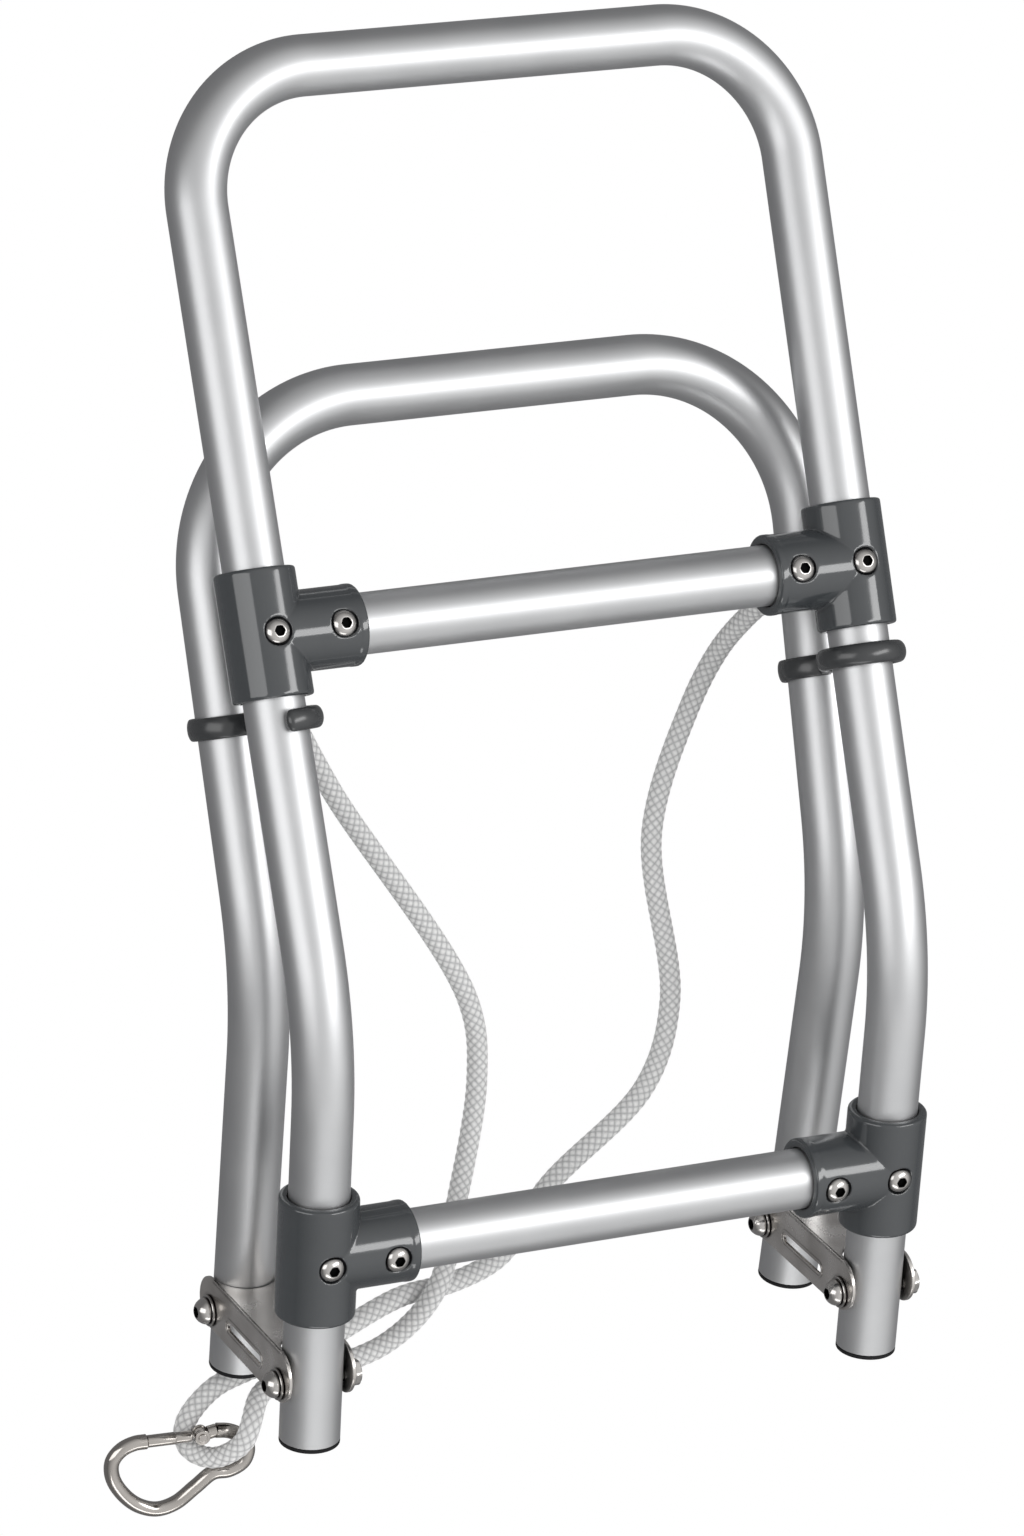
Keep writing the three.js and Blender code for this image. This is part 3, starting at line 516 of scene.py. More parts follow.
def rounded(rings, height, radius, bevel, up=1, steps=4):
    """Ring stations of a rounded outer edge."""
    flat = radius - bevel
    for k in range(steps + 1):
        a = math.pi / 2 * k / steps
        if up > 0:
            rings.append((flat + bevel * math.cos(a), height - bevel + bevel * math.sin(a)))
        else:
            rings.append((flat + bevel * math.sin(a), height + bevel - bevel * math.cos(a)))
    return rings


def cylinder_shape(radius, base, direction, length, bevel=0.0, sides=96):
    if bevel > 0:
        rings = rounded([], 0.0, radius, bevel, -1)
        rings = rounded(rings, length, radius, bevel, 1)
    else:
        rings = [(radius, 0.0), (radius, length)]
    return placed(spun(rings, sides), Vector(base), Vector(direction))


def boolean(target, shape, operation):
    """Joins a shape to the target, or cuts it out."""
    tool = join_shapes("tool", [shape])
    modifier = target.modifiers.new("cut", "BOOLEAN")
    modifier.operation = operation
    modifier.solver = "EXACT"
    modifier.object = tool
    dg = bpy.context.evaluated_depsgraph_get()
    target.data = bpy.data.meshes.new_from_object(target.evaluated_get(dg))
    target.modifiers.clear()
    bpy.data.objects.remove(tool)


def settled(target, *modifiers):
    """Applies modifiers given as (kind, settings) and leaves a plain mesh."""
    for kind, settings in modifiers:
        modifier = target.modifiers.new(kind, kind)
        for key, value in settings.items():
            setattr(modifier, key, value)
    dg = bpy.context.evaluated_depsgraph_get()
    target.data = bpy.data.meshes.new_from_object(target.evaluated_get(dg))
    target.modifiers.clear()


def painted_crevice_shade(start, distance, power):
    """1 in the open and lower in narrow gaps and recesses, where base colours get painted shade.
    """
    open_share = start.node("ShaderNodeAmbientOcclusion", {"Distance": distance}, "AO")
    return open_share.math("POWER", power)


tee = join_shapes("tee_model", [cylinder_shape(
    TEE_RADIUS, (0, -TEE_BODY / 2, 0), (0, 1, 0), TEE_BODY, TEE_EDGE)])
boolean(tee, cylinder_shape(TEE_RADIUS, (0, 0, 0), (1, 0, 0), TEE_BRANCH, TEE_EDGE), "UNION")
boolean(tee, cylinder_shape(
    TEE_RADIUS + BEAD_RISE, (TEE_BRANCH - BEAD_WIDTH, 0, 0), (1, 0, 0), BEAD_WIDTH,
    BEAD_EDGE), "UNION")
bore = TUBE_RADIUS + SEAT_GAP
boolean(tee, cylinder_shape(bore, (0, -BORE_REACH, 0), (0, 1, 0), 2 * BORE_REACH), "DIFFERENCE")
boolean(tee, cylinder_shape(bore, (0, 0, 0), (1, 0, 0), BRANCH_REACH), "DIFFERENCE")
for bolt_x in (0.0, BRANCH_BOLT):
    for up in (1, -1):
        seat = (bolt_x, 0, up * (TEE_RADIUS - RECESS_DEPTH))
        recess = cylinder_shape(RECESS_RADIUS, seat, (0, 0, up), RECESS_CUT, sides=48)
        boolean(tee, recess, "DIFFERENCE")
settled(
    tee, ("REMESH", {"mode": "VOXEL", "voxel_size": TEE_VOXEL}),
    ("SMOOTH", {"factor": 0.5, "iterations": 6}))
tee.data.polygons.foreach_set("use_smooth", [True] * len(tee.data.polygons))
tee_mesh = tee.data
bpy.data.objects.remove(tee)

tee_material, shader, s = new_material("dark_gloss_plastic", Metallic=0.0, IOR=1.75)
speckle = noise_of(s, 120.0)
moulded = mix_colours(s, speckle, (0.043, 0.047, 0.051, 1), (0.050, 0.055, 0.059, 1))
# The base colour gets painted shade, near black, in narrow gaps and in the bolt recesses.
Socket.put(s.tree, shader.inputs["Base Color"], mix_colours(
    s, painted_crevice_shade(s, 0.002, 1.5), (0.004, 0.004, 0.005, 1), moulded))
Socket.put(s.tree, shader.inputs["Roughness"], speckle * 0.06 + 0.09)

tees = []
for level, along in RUNGS.items():
    for side_name, side in (("left", -1), ("right", 1)):
        centre = leg_point(FRONT, side, along)
        leg = leg_direction(FRONT, side, along)
        lift = lift_direction(FRONT, along)
        branch = Vector((-side, 0, 0))
        mesh = tee_mesh.copy()
        place = Matrix((branch, leg, lift)).transposed().to_4x4()
        mesh.transform(Matrix.Translation(centre) @ place)
        if side > 0:
            mesh.flip_normals()
        name = f"tee_{level}_{side_name}"
        piece = bpy.data.objects.new(name + "_moulding", mesh)
        scene.collection.objects.link(piece)
        mesh.materials.append(tee_material)
        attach(piece, "front_frame")
        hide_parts(name)
        tees.append((f"{level}_{side_name}", centre, branch, lift))

# Bolts of the T joints
# Warm grey stainless steel with fine brushing, with painted shade in sockets and narrow gaps.
# Each bolt clamps a T joint to its tube, with a round head and a hexagon socket in the front
# recess and a hexagon nut in the back one.
steel, shader, s = new_material("polished_steel", Metallic=1.0)
scratches = noise_of(s, 700.0, 4.0)
polished = mix_colours(s, scratches, (0.55, 0.53, 0.51, 1), (0.66, 0.64, 0.62, 1))
# Painted shade, near black, in narrow gaps such as under the heads and nuts.
shaded = mix_colours(s, painted_crevice_shade(s, 0.0022, 1.4), (0.008, 0.008, 0.008, 1), polished)
# Inside the hexagon sockets the colour is near black: painted shade.
recess = s.node("ShaderNodeAttribute", output=2, attribute_name="recess")
Socket.put(s.tree, shader.inputs["Base Color"], mix_colours(
    s, recess, shaded, (0.006, 0.006, 0.006, 1)))
Socket.put(s.tree, shader.inputs["Roughness"], scratches * 0.1 + 0.15 + recess * 0.5)

SOCKET_SHARE = 0.94
MOUTH_SHARE = 1.22
RIM_SHARE = 0.12
DOME_SHARE = 1.015
CORNER_SHARE = 1.2
DOME_START = math.radians(10)
DOME_STEPS = 14
EDGE_SHARE = 0.97
MOUTH_DROP_SHARE = 0.02
BOLT_SIDES = 48


def bolt_head(radius, height, socket, depth, length, shank):
    """A bolt along +Z: its shank, its domed head and its socket, whose vertices are sunken."""
    rings = [
        (shank, 0.0), (shank, length), (radius * EDGE_SHARE, length),
        (radius, length + height * RIM_SHARE)]
    dome = radius * DOME_SHARE
    low, high = DOME_START, math.acos(socket * MOUTH_SHARE / dome)
    for k in range(1, DOME_STEPS + 1):
        a = low + (high - low) * k / DOME_STEPS
        rise = (math.sin(a) - math.sin(low)) / (math.sin(high) - math.sin(low))
        rings.append((
            dome * math.cos(a), length + height * (RIM_SHARE + (1 - RIM_SHARE) * rise)))
    top = length + height
    corner = socket * CORNER_SHARE
    rings.append((socket, top - height * MOUTH_DROP_SHARE, corner))
    rings.append((socket * SOCKET_SHARE, top - height * RIM_SHARE, corner))
    rings.append((socket * SOCKET_SHARE, top - depth, corner))
    return *spun(rings, BOLT_SIDES), 3 * BOLT_SIDES


def nut_shape(flats, height, bore_radius):
    """A hexagon nut along +Z with its corners broken."""
    corner = flats / 2 / math.cos(math.pi / 6)
    return spun([
        (bore_radius, 0.0), (flats / 2 * 0.99, 0.0), (flats / 2, height * 0.1, corner * 0.96),
        (flats / 2, height * 0.2, corner), (flats / 2, height * 0.8, corner),
        (flats / 2, height * 0.92, corner * 0.95), (flats / 2 * 0.96, height),
        (bore_radius * 1.15, height), (bore_radius, height * 0.9)], BOLT_SIDES)


TEE_NUT = 0.0032
BOLT_TAIL = 0.0008
TEE_SEAT = TEE_RADIUS - RECESS_DEPTH + SEAT_GAP
TEE_BOLT = 2 * TEE_SEAT + TEE_NUT + BOLT_TAIL
row, given = new_tree("fasteners_in_a_row", (
    ("Host", "Geometry"), ("Fastener", "Object"), ("Count", "Int"), ("First", "Vector"),
    ("Step", "Vector"), ("Towards", "Vector"), ("Steel", "Material")))
spots = row.node("GeometryNodeMeshLine", {
    "Count": given["Count"], "Start Location": given["First"], "Offset": given["Step"]})
model = row.node("GeometryNodeObjectInfo", {"Object": given["Fastener"]}, "Geometry")
turned = row.node("FunctionNodeAlignRotationToVector", {"Vector": given["Towards"]}, axis="Y")
end_tree(row, row.node("GeometryNodeInstanceOnPoints", {
    "Points": spots, "Instance": model, "Rotation": turned}), given["Steel"])

head = bolt_head(
    radius=0.0052, height=0.0026, socket=0.0020, depth=0.0014, length=TEE_BOLT, shank=0.0025)
nut = nut_shape(flats=0.008, height=TEE_NUT, bore_radius=0.0026)
outward = Vector((0, 1, 0))
fastener = join_shapes("tee_fastener", [
    placed(head, outward * (TEE_SEAT - TEE_BOLT), outward),
    placed(nut, -outward * TEE_SEAT, -outward)])
for name, centre, branch, lift in tees:
    piece = grown(mesh_object(f"tee_fasteners_{name}", [(0, 0, 0)], []), row, {
        "Fastener": fastener, "Count": 2, "First": centre, "Step": branch * BRANCH_BOLT,
        "Towards": lift, "Steel": steel})
    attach(piece, "front_frame")
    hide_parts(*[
        f"{kind}_{name}_{place}" for kind in ("bolt", "nut") for place in ("leg", "rung")])
bpy.data.objects.remove(fastener)

# End caps
# Black moulded plugs, one in each stub. The thin rim is flush with the tube and closes its
# cut end.
cap_material, shader, s = new_material("black_cap", Metallic=0.0, Roughness=0.6)
shader.inputs["Specular IOR Level"].default_value = 0.15
Socket.put(s.tree, shader.inputs["Base Color"], mix_colours(
    s, noise_of(s, 300.0), (0.010, 0.010, 0.011, 1), (0.018, 0.018, 0.019, 1)))
CAP_RIM = 0.002
CAP_EDGE = 0.0004
CAP_TOP = 0.0017
CAP_STEM = 0.0107
CAP_DEPTH = 0.0137
for which, frame_name in ((FRONT, "front"), (REAR, "rear")):
    for side_name, side in (("left", -1), ("right", 1)):
        leg = leg_direction(which, side, 0.0)
        rings = rounded([], 0.0, TUBE_RADIUS, CAP_EDGE, -1)
        rings += [(TUBE_RADIUS, CAP_TOP), (CAP_STEM, CAP_TOP), (CAP_STEM, CAP_DEPTH)]
        cap = join_shapes(f"cap_{frame_name}_{side_name}", [placed(
            spun(rings, TUBE_SIDES), leg_point(which, side, 0.0) - leg * CAP_RIM, leg)])
        cap.data.materials.append(cap_material)
        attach(cap, frame_name + "_frame")
        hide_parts(f"end_cap_{frame_name}_{side_name}")

# Hinge links
# Bent channels of polished steel sheet that join the frames at their feet, brighter than the
# bolts, with broad soft bands of painted reflection and painted shade in narrow gaps. Each side
# has a long slot with a raised lip round it. Up the link runs from the rear bolt to the front
# bolt.
LINK = 0.0695
LINK_HALF = 0.011
LINK_OFFSET = 0.0035
LINK_INNER = TUBE_RADIUS + 0.0008
LINK_SHEET = 0.0015
LINK_EDGE = 0.0003
SLOT_X = 0.0015
SLOT_HALF = 0.015
SLOT_RADII = (0.002, 0.0030, 0.0038)
LIP_SHEET = 0.0005
LIP_EDGE = 0.00015
HINGE_HOLE = 0.0033
HALF_WEB = LINK_INNER + LINK_SHEET
WEB_CLEAR = TUBE_RADIUS + 0.0005
WEB_HEIGHT = LINK_OFFSET + LINK_HALF - LINK_SHEET / 2
WEB_EDGE = 0.0002
WEB_STEPS = 32

link_material, shader, s = new_material("link_steel", Metallic=1.0)
# Broad light and dark bands: painted reflections on the polished sheet, which also vary its
# roughness.
painted_reflection_bands = noise_of(s, 55.0, 1.5) * 2.4 - 0.7
scratches = noise_of(s, 900.0, 3.0)
sheet = mix_colours(s, painted_reflection_bands, (0.55, 0.52, 0.49, 1), (0.88, 0.85, 0.82, 1))
# Painted shade, near black, in narrow gaps next to the bolts and tubes.
Socket.put(s.tree, shader.inputs["Base Color"], mix_colours(
    s, painted_crevice_shade(s, 0.002, 1.2), (0.01, 0.01, 0.01, 1), sheet))
Socket.put(s.tree, shader.inputs["Roughness"], painted_reflection_bands * 0.1 + scratches * 0.06 + 0.16)


def plate(name, outlines, thickness, bevel, matrix):
    curve = bpy.data.curves.new(name, "CURVE")
    curve.dimensions = "2D"
    curve.fill_mode = "BOTH"
    curve.extrude = thickness / 2 - bevel
    curve.bevel_depth = bevel
    curve.bevel_resolution = 4
    curve.offset = -bevel
    for outline in outlines:
        spline = curve.splines.new("POLY")
        spline.points.add(len(outline) - 1)
        for point, (x, y) in zip(spline.points, outline):
            point.co = (x, y, 0, 1)
        spline.use_cyclic_u = True
    obj = bpy.data.objects.new(name, curve)
    scene.collection.objects.link(obj)
    dg = bpy.context.evaluated_depsgraph_get()
    mesh = bpy.data.meshes.new_from_object(obj.evaluated_get(dg))
    mesh.transform(matrix)
    if matrix.determinant() < 0:
        mesh.flip_normals()
    bpy.data.objects.remove(obj)
    return mesh


def arc(cx, cy, radius, start, end, count=32):
    """Points of an arc, with its angles in degrees."""
    return [(cx + radius * math.cos(math.radians(start + (end - start) * k / count)),
             cy + radius * math.sin(math.radians(start + (end - start) * k / count)))
            for k in range(count + 1)]


def merged(name, meshes, material, body, nodes):
    """One piece of several meshes, which rides on a body and stands for its nodes."""
    whole = bpy.data.meshes.new(name)
    vertices, faces = [], []
    for mesh in meshes:
        start = len(vertices)
        vertices += [v.co.copy() for v in mesh.vertices]
        faces += [tuple(i + start for i in p.vertices) for p in mesh.polygons]
    whole.from_pydata(vertices, [], faces)
    whole.polygons.foreach_set("use_smooth", [True] * len(faces))
    whole.set_sharp_from_angle(angle=math.radians(35))
    whole.materials.append(material)
    obj = bpy.data.objects.new(name, whole)
    scene.collection.objects.link(obj)
    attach(obj, body)
    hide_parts(*nodes)
    return obj


up_link = (Vector((0, *FRONT_BOLT)) - Vector((0, *REAR_BOLT))).normalized()
across_link = Vector((0, up_link.z, -up_link.y))


def link_centre(side):
    """The middle of a link's rear axis, halfway between the feet of the two frames."""
    feet = leg_point(FRONT, 1, BOLT_ALONG).x + leg_point(REAR, 1, BOLT_ALONG).x - 2 * CENTRE_X
    return Vector((side * feet / 2 + CENTRE_X, *REAR_BOLT))


def side_place(centre, x):
    axes = Matrix((across_link, up_link, Vector((1, 0, 0)))).transposed().to_4x4()
    return Matrix.Translation(centre + Vector((x, 0, 0))) @ axes


def web_edge(base, sign):
    """Height of the hollowed edge across the web, where the sheet clears the tube."""
    edge = []
    for k in range(WEB_STEPS + 1):
        x = -HALF_WEB + 2 * HALF_WEB * k / WEB_STEPS
        rise = math.sqrt(max(0.0, WEB_CLEAR ** 2 - min(abs(x), WEB_CLEAR) ** 2))
        edge.append((x, base + sign * rise))
    return edge


stadium = arc(LINK_OFFSET, 0, LINK_HALF, -180, 0) + arc(LINK_OFFSET, LINK, LINK_HALF, 0, 180)
low, high = LINK / 2 - SLOT_HALF, LINK / 2 + SLOT_HALF
slot_line, inner_line, lip_line = [
    arc(SLOT_X, low, radius, -180, 0) + arc(SLOT_X, high, radius, 0, 180) for radius in SLOT_RADII]
# A hole is a ring of 32 points, which its spline closes
holes = [arc(0, h, HINGE_HOLE, 0, 349, 31) for h in (0, LINK)]
for side_name, side in (("left", -1), ("right", 1)):
    centre = link_centre(side)
    meshes = []
    for out in (-1, 1):
        x = out * (LINK_INNER + LINK_SHEET / 2)
        meshes.append(plate(
            "side", [stadium, slot_line, *holes], LINK_SHEET, LINK_EDGE, side_place(centre, x)))
        meshes.append(plate(
            "lip", [lip_line, inner_line], LIP_SHEET, LIP_EDGE,
            side_place(centre, x + out * LINK_SHEET / 2)))
    rear_leg = leg_direction(REAR, side, 0.0)
    rear_slope = (rear_leg.dot(up_link) / rear_leg.dot(across_link)) * WEB_HEIGHT
    web_line = web_edge(rear_slope, 1) + web_edge(LINK, -1)[::-1]
    web_axes = Matrix((Vector((1, 0, 0)), up_link, -across_link)).transposed().to_4x4()
    web_place = Matrix.Translation(centre + across_link * WEB_HEIGHT) @ web_axes
    meshes.append(plate("web", [web_line], LINK_SHEET, WEB_EDGE, web_place))
    merged(
        f"link_{side_name}", meshes, link_material, "links",
        [f"hinge_link_{side_name}"])

# Hinge bolts
# The two axes of each link: a bolt of the same steel as the T joints' bolts, with a domed head
# on the left and a nut on the right. A washer lies under each.
HINGE_NUT = 0.004
HINGE_TAIL = 0.0006
WASHER = 0.001
WASHER_RADIUS = 0.0066
WASHER_EDGE = 0.0002
washer_in = LINK_INNER + LINK_SHEET + SEAT_GAP
seat = washer_in + WASHER + SEAT_GAP
length = 2 * seat + HINGE_NUT + HINGE_TAIL
left, right = Vector((-1, 0, 0)), Vector((1, 0, 0))
for side_name, side in (("left", -1), ("right", 1)):
    for frame_name, height in (("front", LINK), ("rear", 0.0)):
        middle = link_centre(side) + up_link * height
        head = bolt_head(
            radius=0.0056, height=0.0046, socket=0.0021, depth=0.002, length=length, shank=0.003)
        nut = nut_shape(flats=0.010, height=HINGE_NUT, bore_radius=0.0031)
        ring = spun([
            (HINGE_HOLE, 0.0), (WASHER_RADIUS - WASHER_EDGE, 0.0), (WASHER_RADIUS, WASHER_EDGE),
            (WASHER_RADIUS, WASHER - WASHER_EDGE), (WASHER_RADIUS - WASHER_EDGE, WASHER),
            (HINGE_HOLE, WASHER)], BOLT_SIDES)
        name = f"{frame_name}_{side_name}"
        piece = join_shapes(f"hinge_fasteners_{name}", [
            placed(head, middle + right * (length - seat), left),
            placed(ring, middle + left * washer_in, left),
            placed(ring, middle + right * washer_in, right),
            placed(nut, middle + right * seat, right)])
        piece.data.materials.append(steel)
        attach(piece, "links")
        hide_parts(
            f"hinge_bolt_{name}", f"head_washer_{name}", f"nut_washer_{name}",
            f"hinge_nut_{name}")

# Spring clips
# Dark springy plastic of oval section: a closed ring on one leg, a short arm, and a half
# ring that snaps over the other leg.
clip_material, shader, s = new_material("dark_clip", Metallic=0.0, Roughness=0.24, IOR=1.65)
Socket.put(s.tree, shader.inputs["Base Color"], mix_colours(
    s, noise_of(s, 260.0), (0.032, 0.034, 0.036, 1), (0.044, 0.046, 0.048, 1)))
CLIP_HEIGHT = 0.009
CLIP_HOOK_GAP = 0.00075
ARM_LOW = 0.0001
ARM_HIGH = 0.0059
ARM_EDGE = 0.0024
HOOK_SLACK = 0.0002
HOOK_START = -3
HOOK_END = 176
BAR_STEPS = 72
BAR_SIDES = 32
END_STEPS = 7


def bowed_bar(place, centre, radius, half_wall, start, end):
    """A bar of oval section bent round a centre on the clip's own X axis, with round ends."""
    closed = end - start >= 360
    stations = [
        (math.radians(start + (end - start) * k / BAR_STEPS), 1.0) for k in range(BAR_STEPS + 1)]
    if not closed:
        cap = [math.radians(90 * k / END_STEPS) for k in range(1, END_STEPS + 1)]
        reach = half_wall / radius
        first = [(stations[0][0] - reach * math.sin(c), max(0.02, math.cos(c))) for c in cap]
        last = [(stations[-1][0] + reach * math.sin(c), max(0.02, math.cos(c))) for c in cap]
        stations = first[::-1] + stations + last
    sides = BAR_SIDES
    vertices, faces = [], []
    for angle, scale in stations:
        for k in range(sides):
            t = 2 * math.pi * k / sides
            r = radius + half_wall * scale * math.cos(t)
            vertices.append(place @ Vector((
                centre + r * math.cos(angle), r * math.sin(angle),
                -CLIP_HEIGHT / 2 * scale * math.sin(t))))
    for i in range(len(stations) - 1):
        for k in range(sides):
            a, b = i * sides + k, i * sides + (k + 1) % sides
            face = (a, b, b + sides, a + sides)
            faces.append(face if place.determinant() > 0 else face[::-1])
    if not closed:
        faces.append(tuple(range(sides))[::-1])
        faces.append(tuple(range(len(vertices) - sides, len(vertices))))
    mesh = bpy.data.meshes.new("bar")
    mesh.from_pydata(vertices, [], faces)
    return mesh


THIN_WALL = 0.0034
THICK_WALL = 0.0059
clips = (("left", FRONT, THIN_WALL, THICK_WALL), ("right", REAR, THICK_WALL, THIN_WALL))
for side_name, other, ring_wall, hook_wall in clips:
    body = f"clip_{side_name}"
    swing = joints[body + "_swing"]
    ring_at, axis = Vector(swing["pos_m"]), Vector(swing["axis"]).normalized()
    side = -1 if side_name == "left" else 1
    top = KNEE_ALONG + other["upper"]
    a, b = leg_point(other, side, KNEE_ALONG), leg_point(other, side, top)
    way = (b - a).normalized()
    hook_at = a + way * (axis.dot(ring_at - a) / axis.dot(way))
    towards = hook_at - ring_at
    distance = towards.length
    towards.normalize()
    inward = axis.cross(towards)
    if inward.x * side > 0:
        inward = -inward
    place = Matrix.Translation(ring_at) @ Matrix((towards, inward, axis)).transposed().to_4x4()
    ring_clear, hook_clear = TUBE_RADIUS + SEAT_GAP, TUBE_RADIUS + CLIP_HOOK_GAP
    arm_start, arm_end = ring_clear + ring_wall / 2, distance - ring_clear - hook_wall / 2
    arm_line = [
        (arm_start, ARM_LOW), (arm_end, ARM_LOW), (arm_end, ARM_HIGH), (arm_start, ARM_HIGH)]
    hook_half = hook_wall / 2 - HOOK_SLACK
    meshes = [
        bowed_bar(place, 0.0, ring_clear + ring_wall / 2, ring_wall / 2, 0, 360),
        bowed_bar(place, distance, hook_clear + hook_half, hook_half, HOOK_START, HOOK_END),
        plate("arm", [arm_line], CLIP_HEIGHT - 2 * HOOK_SLACK, ARM_EDGE, place)]
    merged(body + "_moulding", meshes, clip_material, body, [body])

# Stopper knots
# Each end of the rope is tied off inside a rear leg, so that it can't slip out of its hole.
# The tube hides both knots.
KNOT_SHARE = 0.98
KNOT_STEPS = 16
POLE_RADIUS = 0.0002
for side_name in ("left", "right"):
    low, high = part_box(f"rope_knot_{side_name}")
    middle, radius = (low + high) / 2, (high.x - low.x) / 2 * KNOT_SHARE
    steps = [math.pi * k / KNOT_STEPS for k in range(KNOT_STEPS + 1)]
    rings = [(max(POLE_RADIUS, radius * math.sin(a)), radius * (1 - math.cos(a))) for a in steps]
    knot = join_shapes(f"knot_{side_name}", [placed(
        spun(rings, sides=24), middle - Vector((0, 0, radius)), Vector((0, 0, 1)))])
    knot.data.materials.append(rope_material)
    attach(knot, "rear_frame")
    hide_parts(f"rope_knot_{side_name}")

# Snap hook
# Round polished wire bent to a wide bow and a small eye. The gate is a shorter rod that
# turns on a rivet at the eye and rests against the bow's nose.
HOOK_PITCH = math.radians(-7.3)
HOOK_ROLL = math.radians(11.4)
hook_turn = Matrix.Rotation(HOOK_PITCH, 4, "Y") @ Matrix.Rotation(HOOK_ROLL, 4, "X")
hook_place = Matrix.Translation(Vector((-0.1361, -0.3004, 0.013))) @ hook_turn
hook_wire = [
    (-33.5, 8.3), (-38.5, 8.1), (-44, 5.8), (-47.8, 0.8), (-47.6, -6.4), (-43.2, -14.6),
    (-36.4, -21), (-28.4, -23.8), (-20.5, -22), (-12, -15.6), (-4.5, -10), (2.5, -9.6),
    (8.4, -6.4), (10.2, -0.6), (7.8, 5), (2, 8.6), (-3.6, 9.6),
]
hook_path = smooth_path([(x, y, 0) for x, y in hook_wire], step=0.8) / 1000
PIVOT = Vector((-0.010, 0.0083, 0))
WIRE_RADIUS = 0.00315
wire = tube("hook_wire", hook_path, WIRE_RADIUS, sides=40)
CHEEK_HEIGHT = 0.0018
RIVET_HEIGHT = 0.0031
shapes = [cylinder_shape(
    radius=0.0028, base=(-0.0036, 0.0096, 0), direction=(-1, -0.2, 0), length=0.0035)]
for up in (1, -1):
    shapes.append(cylinder_shape(
        radius=0.0033, base=PIVOT + Vector((0, 0, up * CHEEK_HEIGHT)), direction=(0, 0, up),
        length=0.0013, bevel=0.0003, sides=48))
    shapes.append(cylinder_shape(
        radius=0.0019, base=PIVOT + Vector((0, 0, up * RIVET_HEIGHT)), direction=(0, 0, up),
        length=0.0007, bevel=0.0003, sides=32))
cheeks = join_shapes("cheeks", shapes)
hook_steel, shader, s = new_material("hook_steel", Metallic=1.0)
polish = noise_of(s, 150.0)
Socket.put(s.tree, shader.inputs["Base Color"], mix_colours(
    s, polish, (0.47, 0.44, 0.41, 1), (0.56, 0.53, 0.50, 1)))
Socket.put(s.tree, shader.inputs["Roughness"], polish * 0.06 + 0.12)
for piece in (wire, cheeks):
    piece.data.transform(hook_place)
hook = merged(
    "hook", [wire.data, cheeks.data], hook_steel, "links",
    ["hook_body", "hook_rivet"])
bpy.data.objects.remove(wire)
bpy.data.objects.remove(cheeks)

gate = join_shapes("gate", [
    cylinder_shape(
        radius=0.0026, base=(-0.0332, 0.0083, 0), direction=(1, 0, 0), length=0.0122,
        bevel=0.0004, sides=48),
    cylinder_shape(
        radius=0.0024, base=(-0.0215, 0.0083, 0), direction=(1, 0, 0), length=0.0076,
        bevel=0.0008, sides=48),
    cylinder_shape(
        radius=0.0029, base=PIVOT - Vector((0, 0, 0.0015)), direction=(0, 0, 1), length=0.003,
        bevel=0.0002, sides=48)])
gate.data.transform(hook_place)
gate.data.materials.append(hook_steel)
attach(gate, "hook_gate")
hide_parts("hook_gate")

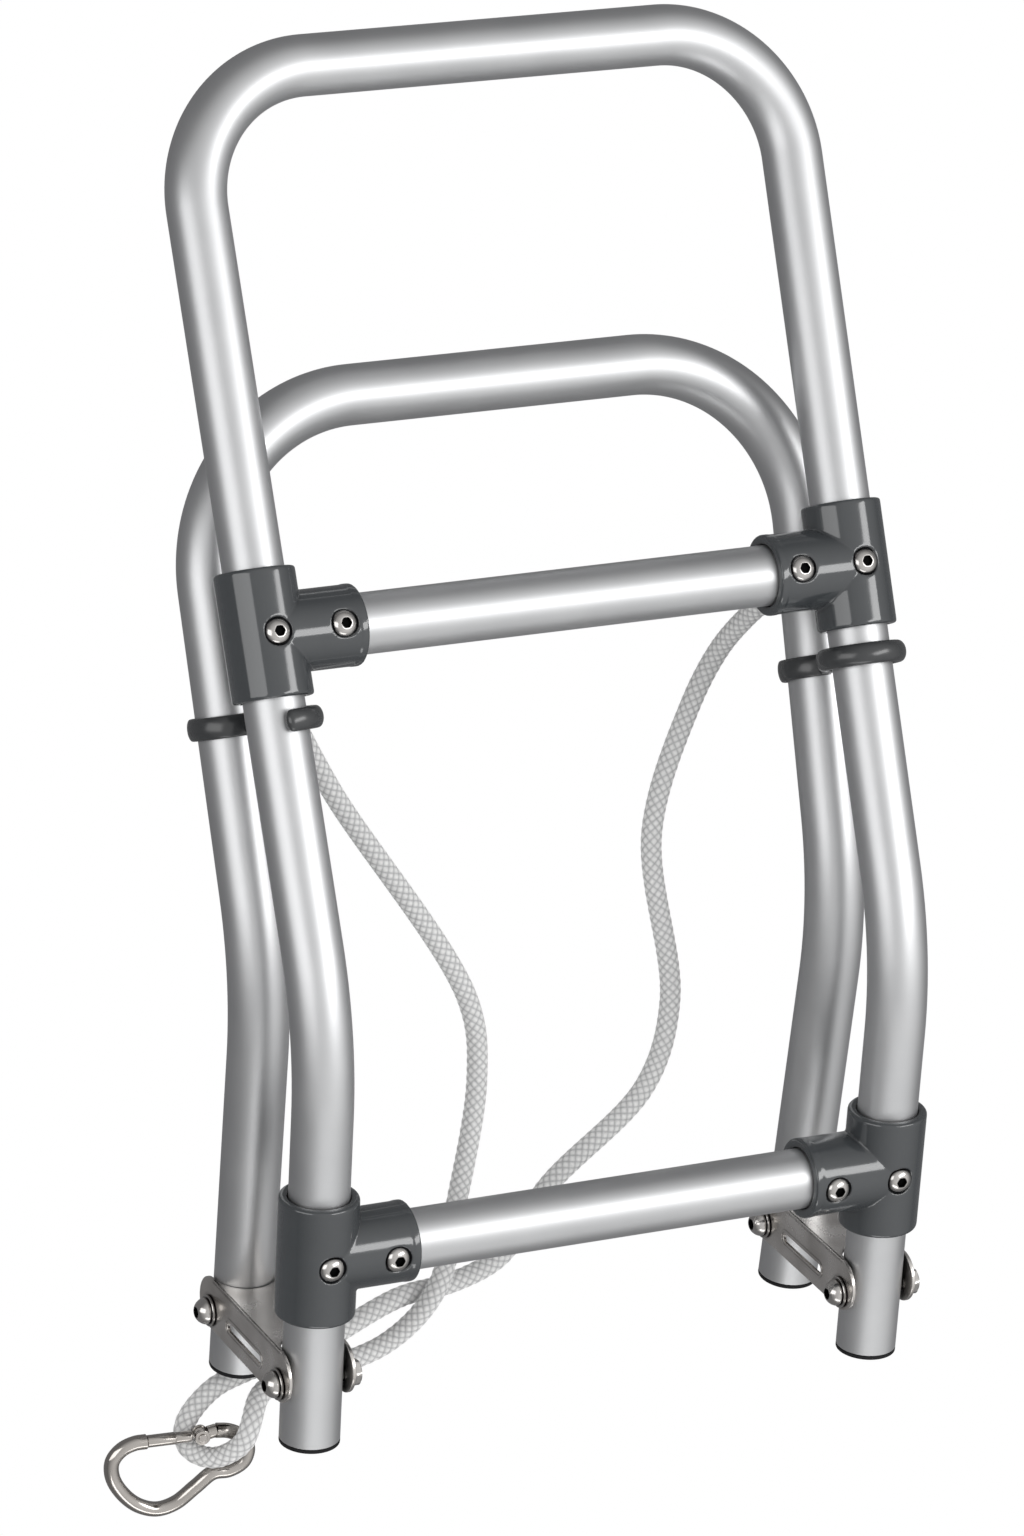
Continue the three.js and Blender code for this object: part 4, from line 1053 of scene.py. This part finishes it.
# Floor, backdrop and light
# A plain white ground that the camera sees as pure white, and a grey one in reflections, so
# that the tubes keep their grey bands. Three large soft lights hang over it.
FLOOR_HALF = 6
FLOOR_DROP = 0.0005
corners = [(x * FLOOR_HALF, y * FLOOR_HALF, 0) for x, y in ((-1, -1), (1, -1), (1, 1), (-1, 1))]
floor = mesh_object("floor", corners, [(0, 1, 2, 3)])
floor.location.z = -FLOOR_DROP
floor_material = bpy.data.materials.new("floor")
floor_material.use_nodes = True
tree = floor_material.node_tree
tree.nodes.clear()
s = Socket(tree, None)
is_camera = s.node("ShaderNodeLightPath", output="Is Camera Ray")
is_glossy = s.node("ShaderNodeLightPath", output="Is Glossy Ray")
white = s.node("ShaderNodeEmission", {"Color": (1, 1, 1, 1), "Strength": 1.0})
grey = s.node("ShaderNodeEmission", {"Color": (0.5, 0.5, 0.51, 1), "Strength": 0.42})
matte = s.node("ShaderNodeBsdfDiffuse", {"Color": (0.8, 0.8, 0.8, 1)})
lower = s.node("ShaderNodeMixShader", {0: is_glossy, 1: matte, 2: grey})
final = s.node("ShaderNodeMixShader", {0: is_camera, 1: lower, 2: white})
output = tree.nodes.new("ShaderNodeOutputMaterial")
tree.links.new(final.value, output.inputs["Surface"])
floor.data.materials.append(floor_material)

world = bpy.data.worlds.new("world")
scene.world = world
world.use_nodes = True
tree = world.node_tree
tree.nodes.clear()
s = Socket(tree, None)
direction = s.node("ShaderNodeTexCoord", output=0)
height = s.node("ShaderNodeSeparateXYZ", {"Vector": direction}, output=2)
level = s.node("ShaderNodeMapRange", {
    "Value": height, "From Min": 0.0, "From Max": 0.85, "To Min": 0.26, "To Max": 1.0})
side = s.node("ShaderNodeSeparateXYZ", {"Vector": direction}, output=0)
level = level * (side * 0.26 + 0.8)
sky = s.node("ShaderNodeBackground", {"Color": (1, 1, 1, 1), "Strength": level})
plain = s.node("ShaderNodeBackground", {"Color": (1, 1, 1, 1), "Strength": 1.0})
is_camera = s.node("ShaderNodeLightPath", output="Is Camera Ray")
shown = s.node("ShaderNodeMixShader", {0: is_camera, 1: sky, 2: plain})
output = tree.nodes.new("ShaderNodeOutputWorld")
tree.links.new(shown.value, output.inputs["Surface"])

lights = (
    ("key", (1.08, 0.36, 1.95), (0.66, 1.7), 16.0),
    ("left_panel", (-1.9, 0.3, 1.0), (1.2, 1.8), 12.0),
    ("foot_panel", (-0.3, -2.0, 1.1), (1.6, 0.5), 6.0))
for name, place, (wide, deep), power in lights:
    data = bpy.data.lights.new(name, "AREA")
    data.shape = "RECTANGLE"
    data.size, data.size_y = wide, deep
    data.energy = power
    lamp = bpy.data.objects.new(name, data)
    scene.collection.objects.link(lamp)
    lamp.location = place
    lamp.rotation_mode = "QUATERNION"
    lamp.rotation_quaternion = (-Vector(place)).to_track_quat("-Z", "Y")
